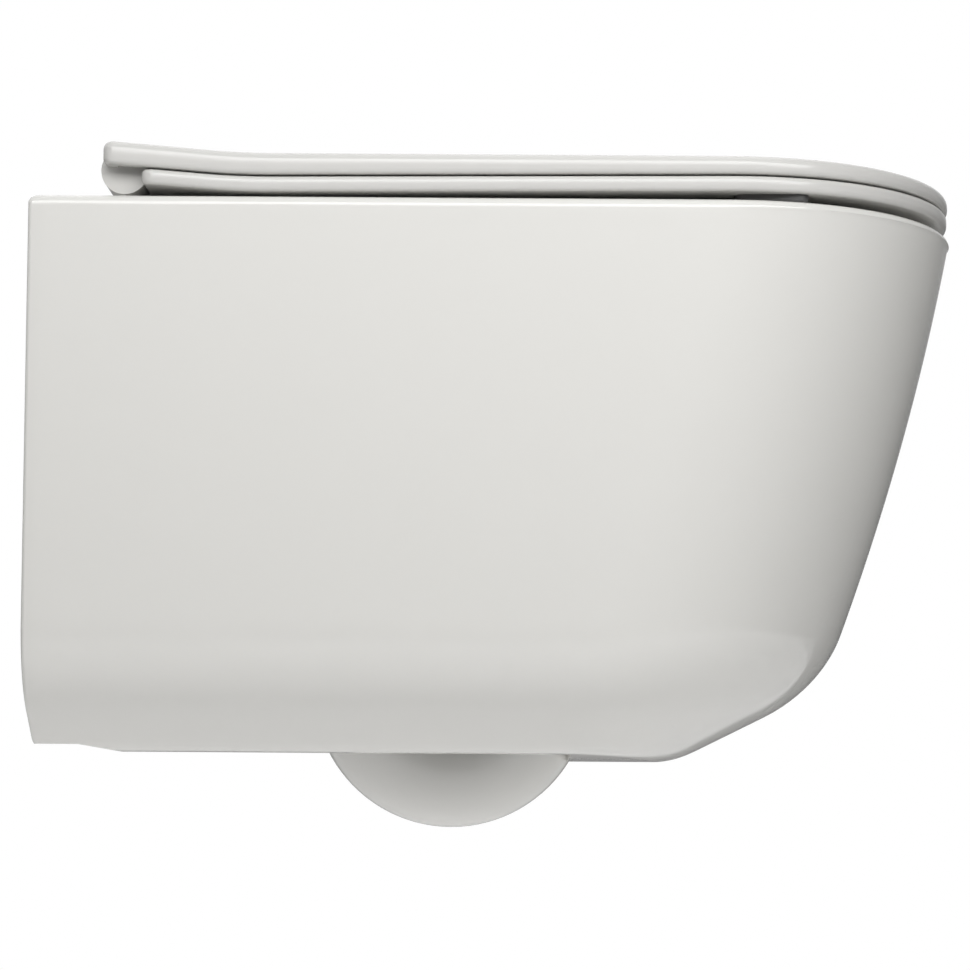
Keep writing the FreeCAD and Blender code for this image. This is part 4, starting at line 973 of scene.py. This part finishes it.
def hinge_post():
    """A post with a round head, its edges rounded, with room for bolt, grub screw and pins."""
    h = hinge()
    x, _, z = hinge_point(0)
    foot = RIM + h.pad_height + h.base_height
    rings = []
    for side in (-1, 1):
        for inset, narrow in rounding(h.post_edge, 4)[::-side]:
            y = side * (h.post_width / 2 - narrow)
            radius = h.post_depth / 2 - inset
            arch = [(x + radius * math.cos(t), y, z + radius * math.sin(t))
                    for t in steps(0, math.pi, 32)]
            rings.append(arch + [(x - radius, y, foot), (x + radius, y, foot)])
    post = skinned("hinge_posts", rings)
    return combined(post, "DIFFERENCE",
                    rod("head_room", h.head, (x, 0, foot - OVERRUN), (x, 0, foot + h.head_height)),
                    along_x("grub_hole", h.grub, x - h.post_depth, x, 0, foot + h.grub_rise),
                    hinge_rod("eye", h.eye, -h.post_width, h.post_width))


RIBS, RIB_DEPTH = 12, 0.0006  # of an expansion sleeve
LIPS, LIP_DEPTH = 3, 0.0012  # of the inlet seal


def ribbed(radius, start, end, ribs, depth):
    """Radii and heights along a row of round ribs."""
    return [(radius - depth * (1 - math.cos(math.pi * n / 3)) / 2, height)
            for n, height in enumerate(steps(start, end, 6 * ribs))]


class TOILET_OT_hinges(bpy.types.Operator):
    """Build the hinge posts, their bases and pads, and what grips the fixing holes"""
    bl_idname = "toilet.hinges"
    bl_label = "Hinges"

    def execute(self, context):
        h = hinge()
        origin, up = (h.x, 0, RIM), (0, 0, 1)
        pad, stack = h.pad_height, h.pad_height + h.base_height
        piece = lathe("hinge_pads", edged(h.bore, h.pad, 0, pad, h.pad_edge), origin, up)
        paired(piece, h.half, "pan", "soft_pad", "hinge_base_pads")
        section = edged(h.bore, h.base, pad, stack, h.base_edge)
        section[1:6] = [(h.base, pad)]  # only the upper edge is rounded
        piece = lathe("hinge_bases", section, origin, up)
        paired(piece, h.half, "pan", "chromed_metal", "left_hinge_base", "right_hinge_base")
        paired(hinge_post(), h.half, "pan", "chromed_metal", "left_hinge_post", "right_hinge_post")
        low, high = -h.sleeve_sink - h.sleeve_length, -h.sleeve_sink
        end = h.sleeve_length / (2 * RIBS + 2)  # plain, above and below the ribs
        ribs = ribbed(h.sleeve, high - end, low + end, RIBS, RIB_DEPTH)[::-1]
        section = [(h.bore, low), (ribs[0][0] - RIB_DEPTH, low), *ribs,
                   (h.sleeve - RIB_DEPTH, high), (h.bore, high)]
        piece = lathe("expansion_sleeves", section, origin, up)
        paired(piece, h.half, "pan", "black_rubber", "expansion_sleeves")
        return {"FINISHED"}


NUT_FACE = 0.47  # radius of a nut's flat ring, as a share of its width across flats
NUT_LEAD = 0.001  # bevel of its bore


def hexagon_nut(name, flats, height, bore, start):
    """A nut along X whose corners are turned off at both ends."""
    reach, face, axis = flats / math.sqrt(3), NUT_FACE * flats, (1, 0, 0)
    corners = [(reach * math.cos(turn), reach * math.sin(turn)) for turn in around(6)]
    nut = skinned(name, [[(x, y, z) for y, z in corners] for x in (start, start + height)])
    slope = (reach - face) * math.tan(math.radians(30))
    body = [(0, 0), (face, 0), (reach, slope), (reach, height - slope), (face, height), (0, height)]
    wide = bore + NUT_LEAD
    hole = [(0, -OVERRUN), (wide, -OVERRUN), (wide, 0), (bore, NUT_LEAD), (bore, height - NUT_LEAD),
            (wide, height), (wide, height + OVERRUN), (0, height + OVERRUN)]
    combined(nut, "INTERSECT", lathe("nut_turned", body, (start, 0, 0), axis))
    return combined(nut, "DIFFERENCE", lathe("nut_hole", hole, (start, 0, 0), axis))


class TOILET_OT_wall_fixings(bpy.types.Operator):
    """Build the stud sleeves, washers and nuts and the seal of the flush inlet"""
    bl_idname = "toilet.wall_fixings"
    bl_label = "Wall fixings"

    def execute(self, context):
        p, f = pan(), fixings()
        origin, along, half = (0, 0, 0), (1, 0, 0), p.stud_spacing / 2
        face = p.web + p.boss_height
        flange = edged(f.bore, f.flange, face, face + f.flange_height, f.flange_edge)
        section = [(f.bore, 0), (f.sleeve, 0), (f.sleeve, face)] + flange[1:]
        sleeve = lathe("stud_sleeves", section, origin, along)
        paired(sleeve, half, "pan", "nylon", "stud_sleeves")
        under = face + f.flange_height
        over = under + f.washer_height
        section = edged(f.bore, f.washer, under, over, f.washer_edge)
        washer = lathe("stud_washers", section, origin, along)
        paired(washer, half, "pan", "zinc_steel", "stud_washers")
        nut = hexagon_nut("stud_nuts", f.nut_flats, f.nut_height, f.nut_bore, over)
        paired(nut, half, "pan", "zinc_steel", "stud_nuts")
        lips = ribbed(f.seal, f.seal_start + f.seal_rim, f.seal_end - f.seal_rim, LIPS, LIP_DEPTH)
        bevel = f.seal_bevel
        section = [(f.seal_bore + bevel, f.seal_start), (f.seal, f.seal_start), *lips,
                   (f.seal - 2 * bevel, f.seal_end), (f.seal_bore, f.seal_end),
                   (f.seal_bore, f.seal_start + bevel)]
        piece = smooth(lathe("inlet_seal", section, (0, 0, p.inlet_rise), along, 96))
        finished(piece, "pan", "black_rubber", "inlet_seal")
        return {"FINISHED"}


# ---- finishes

def shader_effect(name, sizes, *outputs):
    """A node group that other materials share; it gives normals and may give a roughness."""
    tree = bpy.data.node_groups.new(name, "ShaderNodeTree")
    for output in outputs:
        kind = "NodeSocketVector" if output == "Normal" else "NodeSocketFloat"
        tree.interface.new_socket(output, in_out="OUTPUT", socket_type=kind)
    _, size = group_inputs(tree, sizes)
    return tree, size, node(tree, "ShaderNodeTexCoord").outputs["Object"]


def relief(tree, size, where, detail):
    """Normals of an uneven face, from a noise."""
    noise = node(tree, "ShaderNodeTexNoise",
                 {"Vector": where, "Scale": size["Scale"], "Detail": detail})
    bump = node(tree, "ShaderNodeBump", {"Strength": 1.0, "Distance": size["Height"],
                                         "Height": noise.outputs[0]})
    return bump.outputs["Normal"]


def ripple_effect():
    """Faint waves and orange peel of a glazed or moulded face, as a normal and a roughness."""
    sizes = {"Scale": 20.0, "Height": 0.0002, "Polish": 0.1}
    tree, size, where = shader_effect("Surface ripple", sizes, "Normal", "Roughness")
    haze = node(tree, "ShaderNodeTexNoise", {"Vector": where, "Scale": 9.0, "Detail": 3.0})
    shade = (Field(tree, haze.outputs[0]) * 0.5 + 0.75) * size["Polish"]
    node(tree, "NodeGroupOutput", {"Normal": relief(tree, size, where, 1.0), "Roughness": shade})
    return tree


def grain_effect():
    """Fine moulded or sandblasted grain, as a normal."""
    tree, size, where = shader_effect("Fine grain", {"Scale": 900.0, "Height": 0.00004}, "Normal")
    node(tree, "NodeGroupOutput", {"Normal": relief(tree, size, where, 4.0)})
    return tree


EFFECTS = {"Surface ripple": ripple_effect, "Fine grain": grain_effect}
LOOKS = {  # slot: colour, roughness, metallic, IOR, effect and the effect's scale and height
    "glaze": ("glaze", 0.08, 0, 1.52, "Surface ripple", 14.0, 0.00025),
    "duroplast": ("plastic", 0.16, 0, 1.5, "Surface ripple", 60.0, 0.00004),
    # the pads' colour is darkened to paint in the shade of the gaps the buffers sit in
    "soft_pad": ("pads", 0.6, 0, 1.5, "Fine grain", 900.0, 0.00004),
    "black_rubber": ("rubber", 0.55, 0, 1.5, "Fine grain", 700.0, 0.00004),
    "nylon": ("nylon", 0.42, 0, 1.5, "Fine grain", 1200.0, 0.00002),
    "chromed_metal": ("chrome", 0.06, 1, 1.5, "Surface ripple", 40.0, 0.00002),
    "zinc_steel": ("zinc", 0.32, 1, 1.5, "Surface ripple", 220.0, 0.00003),
}


def finish(slot):
    """The material of a slot, made on first use.

    Its name ends in _finish, because the frame brings plain materials with the slots' names."""
    if slot + "_finish" in bpy.data.materials:
        return bpy.data.materials[slot + "_finish"]
    base, roughness, metallic, ior, effect, scale, height = LOOKS[slot]
    paint = bpy.data.materials.new(slot + "_finish")
    paint.use_nodes = True
    tree = paint.node_tree
    shader = next(made for made in tree.nodes if made.type == "BSDF_PRINCIPLED")
    for name, value in (("Base Color", (*getattr(finishes(), base), 1)), ("Roughness", roughness),
                        ("Metallic", metallic), ("IOR", ior)):
        shader.inputs[name].default_value = value
    group = tree.nodes.new("ShaderNodeGroup")
    group.node_tree = bpy.data.node_groups.get(effect) or EFFECTS[effect]()
    for name, value in (("Scale", scale), ("Height", height), ("Polish", roughness)):
        if name in group.inputs:
            group.inputs[name].default_value = value
    for socket in group.outputs:
        tree.links.new(socket, shader.inputs[socket.name])
    return paint


class TOILET_OT_inner_pieces(bpy.types.Operator):
    """Give their finishes to the pieces that are shown as they are in the CAD model"""
    bl_idname = "toilet.inner_pieces"
    bl_label = "Inner pieces"

    def execute(self, context):
        slots = {part["node"]: part["material_slot"] for part in frame["record"]["subparts"]}
        for name, item in frame["nodes"].items():
            if not item.hide_render:
                item.data.materials.clear()
                item.data.materials.append(finish(slots[name]))
        return {"FINISHED"}


# ---- stage

class StageSizes(bpy.types.PropertyGroup):
    """Camera and light."""
    distance: length("Camera distance", "Camera to the middle plane of the object", 1.98)
    camera_x: length("Camera X", "Wall to the camera", 0.2575)
    camera_z: length("Camera Z", "Height of the camera, level with the pan's bottom edge", -0.2305)
    pitch: angle("Pitch", "How far the camera looks up", 4.7)
    roll: angle("Roll", "How far the camera leans", 0.37)
    lens: number("Lens", "Focal length in millimetres on a 36 mm sensor", 120.5, unit="CAMERA")
    floor: length("Floor", "Height of the floor", -0.62)
    floor_radius: length("Floor radius", "Radius of the floor", 1.5)
    key_x: length("Key X", "Wall to the middle of the key light", 0.56)
    key_y: length("Key distance", "Middle plane to the key light, towards the camera", 1.0)
    key_z: length("Key Z", "Studs up to the key light", 0.50)
    key_length: length("Key length", "Length of the key light, along X", 1.90)
    key_height: length("Key height", "Height of the key light's face", 0.4)
    key: number("Key light", "Power of the key light in watts", 12, unit="POWER")
    target: length("Light target", "Height at which the key and the top light are aimed", -0.05)
    low_y: length("Low light Y", "Middle plane to the low light, towards the camera", 0.3)
    low_size: length("Low light size", "Side of the low light", 3.0)
    low: number("Low light", "Power of the soft light on the floor, in watts", 8.4, unit="POWER")
    top_y: length("Top light Y", "Middle plane to the top light, away from the camera", 0.2)
    top_z: length("Top light Z", "Studs up to the top light", 2.0)
    top_size: length("Top light size", "Side of the top light", 1.8)
    top: number("Top light", "Power of the top light in watts", 5, unit="POWER")
    fill: number("Fill", "Strength of the light from all round", 0.24, subtype="FACTOR")
    front: number("Front share", "Share of it that comes from the front of the object",
                  0.36, subtype="FACTOR")
    behind: number("Far side", "How much stronger it is from the far side", 2.5)
    horizon: number("Horizon", "Share of that light that comes from low down",
                    0.12, subtype="FACTOR")


def stage_sizes():
    return bpy.context.scene.toilet_stage


def lamp(name, place, target, width, height, watts):
    """An area light that lies level along X and is aimed straight across at a target."""
    light = bpy.data.lights.new(name, "AREA")
    light.shape = "RECTANGLE"
    light.size, light.size_y = width, height
    light.energy = watts
    item = bpy.data.objects.new(name, light)
    item.location = place
    item.rotation_euler = (math.atan2(target[1] - place[1], place[2] - target[2]), 0, 0)
    item.visible_camera = False
    bpy.context.collection.objects.link(item)
    return item


def ramp(field, low, high, start, end):
    """A number that goes from start to end while a field goes from low to high."""
    return (field.clamp(low, high) - low) * ((end - start) / (high - low)) + start


FRONT, LOW, FAR = (0.1, 0.5), (0.02, 0.42), (0.0, 0.5)  # where it changes, by X, Z and Y


def studio_world():
    """White to the camera; a soft light from all round, weaker from below and from the front."""
    s = stage_sizes()
    world = bpy.context.scene.world = bpy.data.worlds.new("studio")
    world.use_nodes = True
    tree = world.node_tree
    sky = next(made for made in tree.nodes if made.type == "BACKGROUND")
    sky.inputs["Color"].default_value = (1, 1, 1, 1)
    where = node(tree, "ShaderNodeTexCoord").outputs["Generated"]
    parts = node(tree, "ShaderNodeSeparateXYZ", {0: where}).outputs
    rays = tree.nodes.new("ShaderNodeLightPath").outputs
    x, y, z = (Field(tree, parts[axis]) for axis in "XYZ")
    seen, glossy, through = (Field(tree, rays[f"Is {kind} Ray"])
                             for kind in ("Camera", "Glossy", "Transmission"))
    glossy = glossy.math("MAXIMUM", through)
    front, height = ramp(x, *FRONT, 1.0, s.front), ramp(z, *LOW, s.horizon, 1.0)
    behind = ramp(y, *FAR, 1.0, s.behind)
    soft = front * height * (glossy * (1 - s.fill) + behind * s.fill)
    strength = seen + (seen * -1.0 + 1.0) * soft
    tree.links.new(strength.socket, sky.inputs["Strength"])


FADE = 0.375  # share of the floor's radius from which it turns white to the camera


def floor_paint(radius):
    """Pale and matt near the object, and white to the camera further out."""
    paint = bpy.data.materials.new("floor")
    paint.use_nodes = True
    tree = paint.node_tree
    tree.nodes.clear()
    matt = node(tree, "ShaderNodeBsdfDiffuse", {"Color": (*finishes().floor, 1)})
    white = node(tree, "ShaderNodeEmission")
    where = node(tree, "ShaderNodeTexCoord").outputs["Object"]
    spread = node(tree, "ShaderNodeVectorMath", {0: where}, operation="LENGTH")
    far = ramp(Field(tree, spread.outputs["Value"]) / radius, FADE, 1.0, 0.0, 1.0)
    share = far * Field(tree, node(tree, "ShaderNodeLightPath").outputs["Is Camera Ray"])
    mix = node(tree, "ShaderNodeMixShader", {0: share, 1: matt.outputs[0], 2: white.outputs[0]})
    node(tree, "ShaderNodeOutputMaterial", {"Surface": mix.outputs[0]})
    return paint


OVER_FLOOR = 0.01  # the low light's height over the floor


class TOILET_OT_stage(bpy.types.Operator):
    """Set up floor, light and camera"""
    bl_idname = "toilet.stage"
    bl_label = "Stage"

    def execute(self, context):
        s = stage_sizes()
        rim = [(s.floor_radius * math.cos(t), s.floor_radius * math.sin(t), 0) for t in around(96)]
        floor = new_object("floor", rim, [tuple(range(len(rim)))])
        floor.location = (s.camera_x, 0, s.floor)
        floor.data.materials.append(floor_paint(s.floor_radius))
        middle, low = (s.camera_x, 0, s.target), (s.camera_x, -s.low_y, s.floor + OVER_FLOOR)
        lamps = [
            lamp("key", (s.key_x, -s.key_y, s.key_z), middle, s.key_length, s.key_height, s.key),
            lamp("low", low, (0, -s.low_y, 0), s.low_size, s.low_size, s.low),
            lamp("top", (s.camera_x, s.top_y, s.top_z), middle, s.top_size, s.top_size, s.top),
        ]
        studio_world()
        camera = bpy.data.objects.new("camera", bpy.data.cameras.new("camera"))
        camera.data.lens = s.lens
        camera.data.sensor_width = 36
        camera.data.clip_start = 0.05
        turn = Matrix.Rotation(math.pi / 2 + s.pitch, 4, "X") @ Matrix.Rotation(s.roll, 4, "Z")
        camera.matrix_world = Matrix.Translation((s.camera_x, -s.distance, s.camera_z)) @ turn
        context.collection.objects.link(camera)
        context.scene.camera = camera
        context.scene.view_settings.view_transform = "Standard"
        return {"FINISHED"}


class TOILET_PT_panel(bpy.types.Panel):
    """The steps of the build, in order"""
    bl_label = "Wall hung toilet"
    bl_idname = "TOILET_PT_panel"
    bl_space_type = "VIEW_3D"
    bl_region_type = "UI"
    bl_category = "Toilet"

    def draw(self, context):
        for step in STEPS:
            self.layout.operator(step.bl_idname)


SIZES = {"toilet_pan": PanSizes, "toilet_board": BoardSizes, "toilet_hinge": HingeSizes,
         "toilet_fixings": FixingSizes, "toilet_finishes": Finishes, "toilet_stage": StageSizes}
STEPS = (TOILET_OT_pan, TOILET_OT_seat, TOILET_OT_lid, TOILET_OT_buffers, TOILET_OT_hinges,
         TOILET_OT_wall_fixings, TOILET_OT_inner_pieces, TOILET_OT_stage)


def register():
    for kind in (*SIZES.values(), *STEPS, TOILET_PT_panel):
        bpy.utils.register_class(kind)
    for name, kind in SIZES.items():
        setattr(bpy.types.Scene, name, bpy.props.PointerProperty(type=kind))


def unregister():
    for name in SIZES:
        delattr(bpy.types.Scene, name)
    for kind in reversed((*SIZES.values(), *STEPS, TOILET_PT_panel)):
        bpy.utils.unregister_class(kind)


def main():
    register()
    for step in STEPS:
        group, name = step.bl_idname.split(".")
        getattr(getattr(bpy.ops, group), name)()


if __name__ == "__main__":
    main()
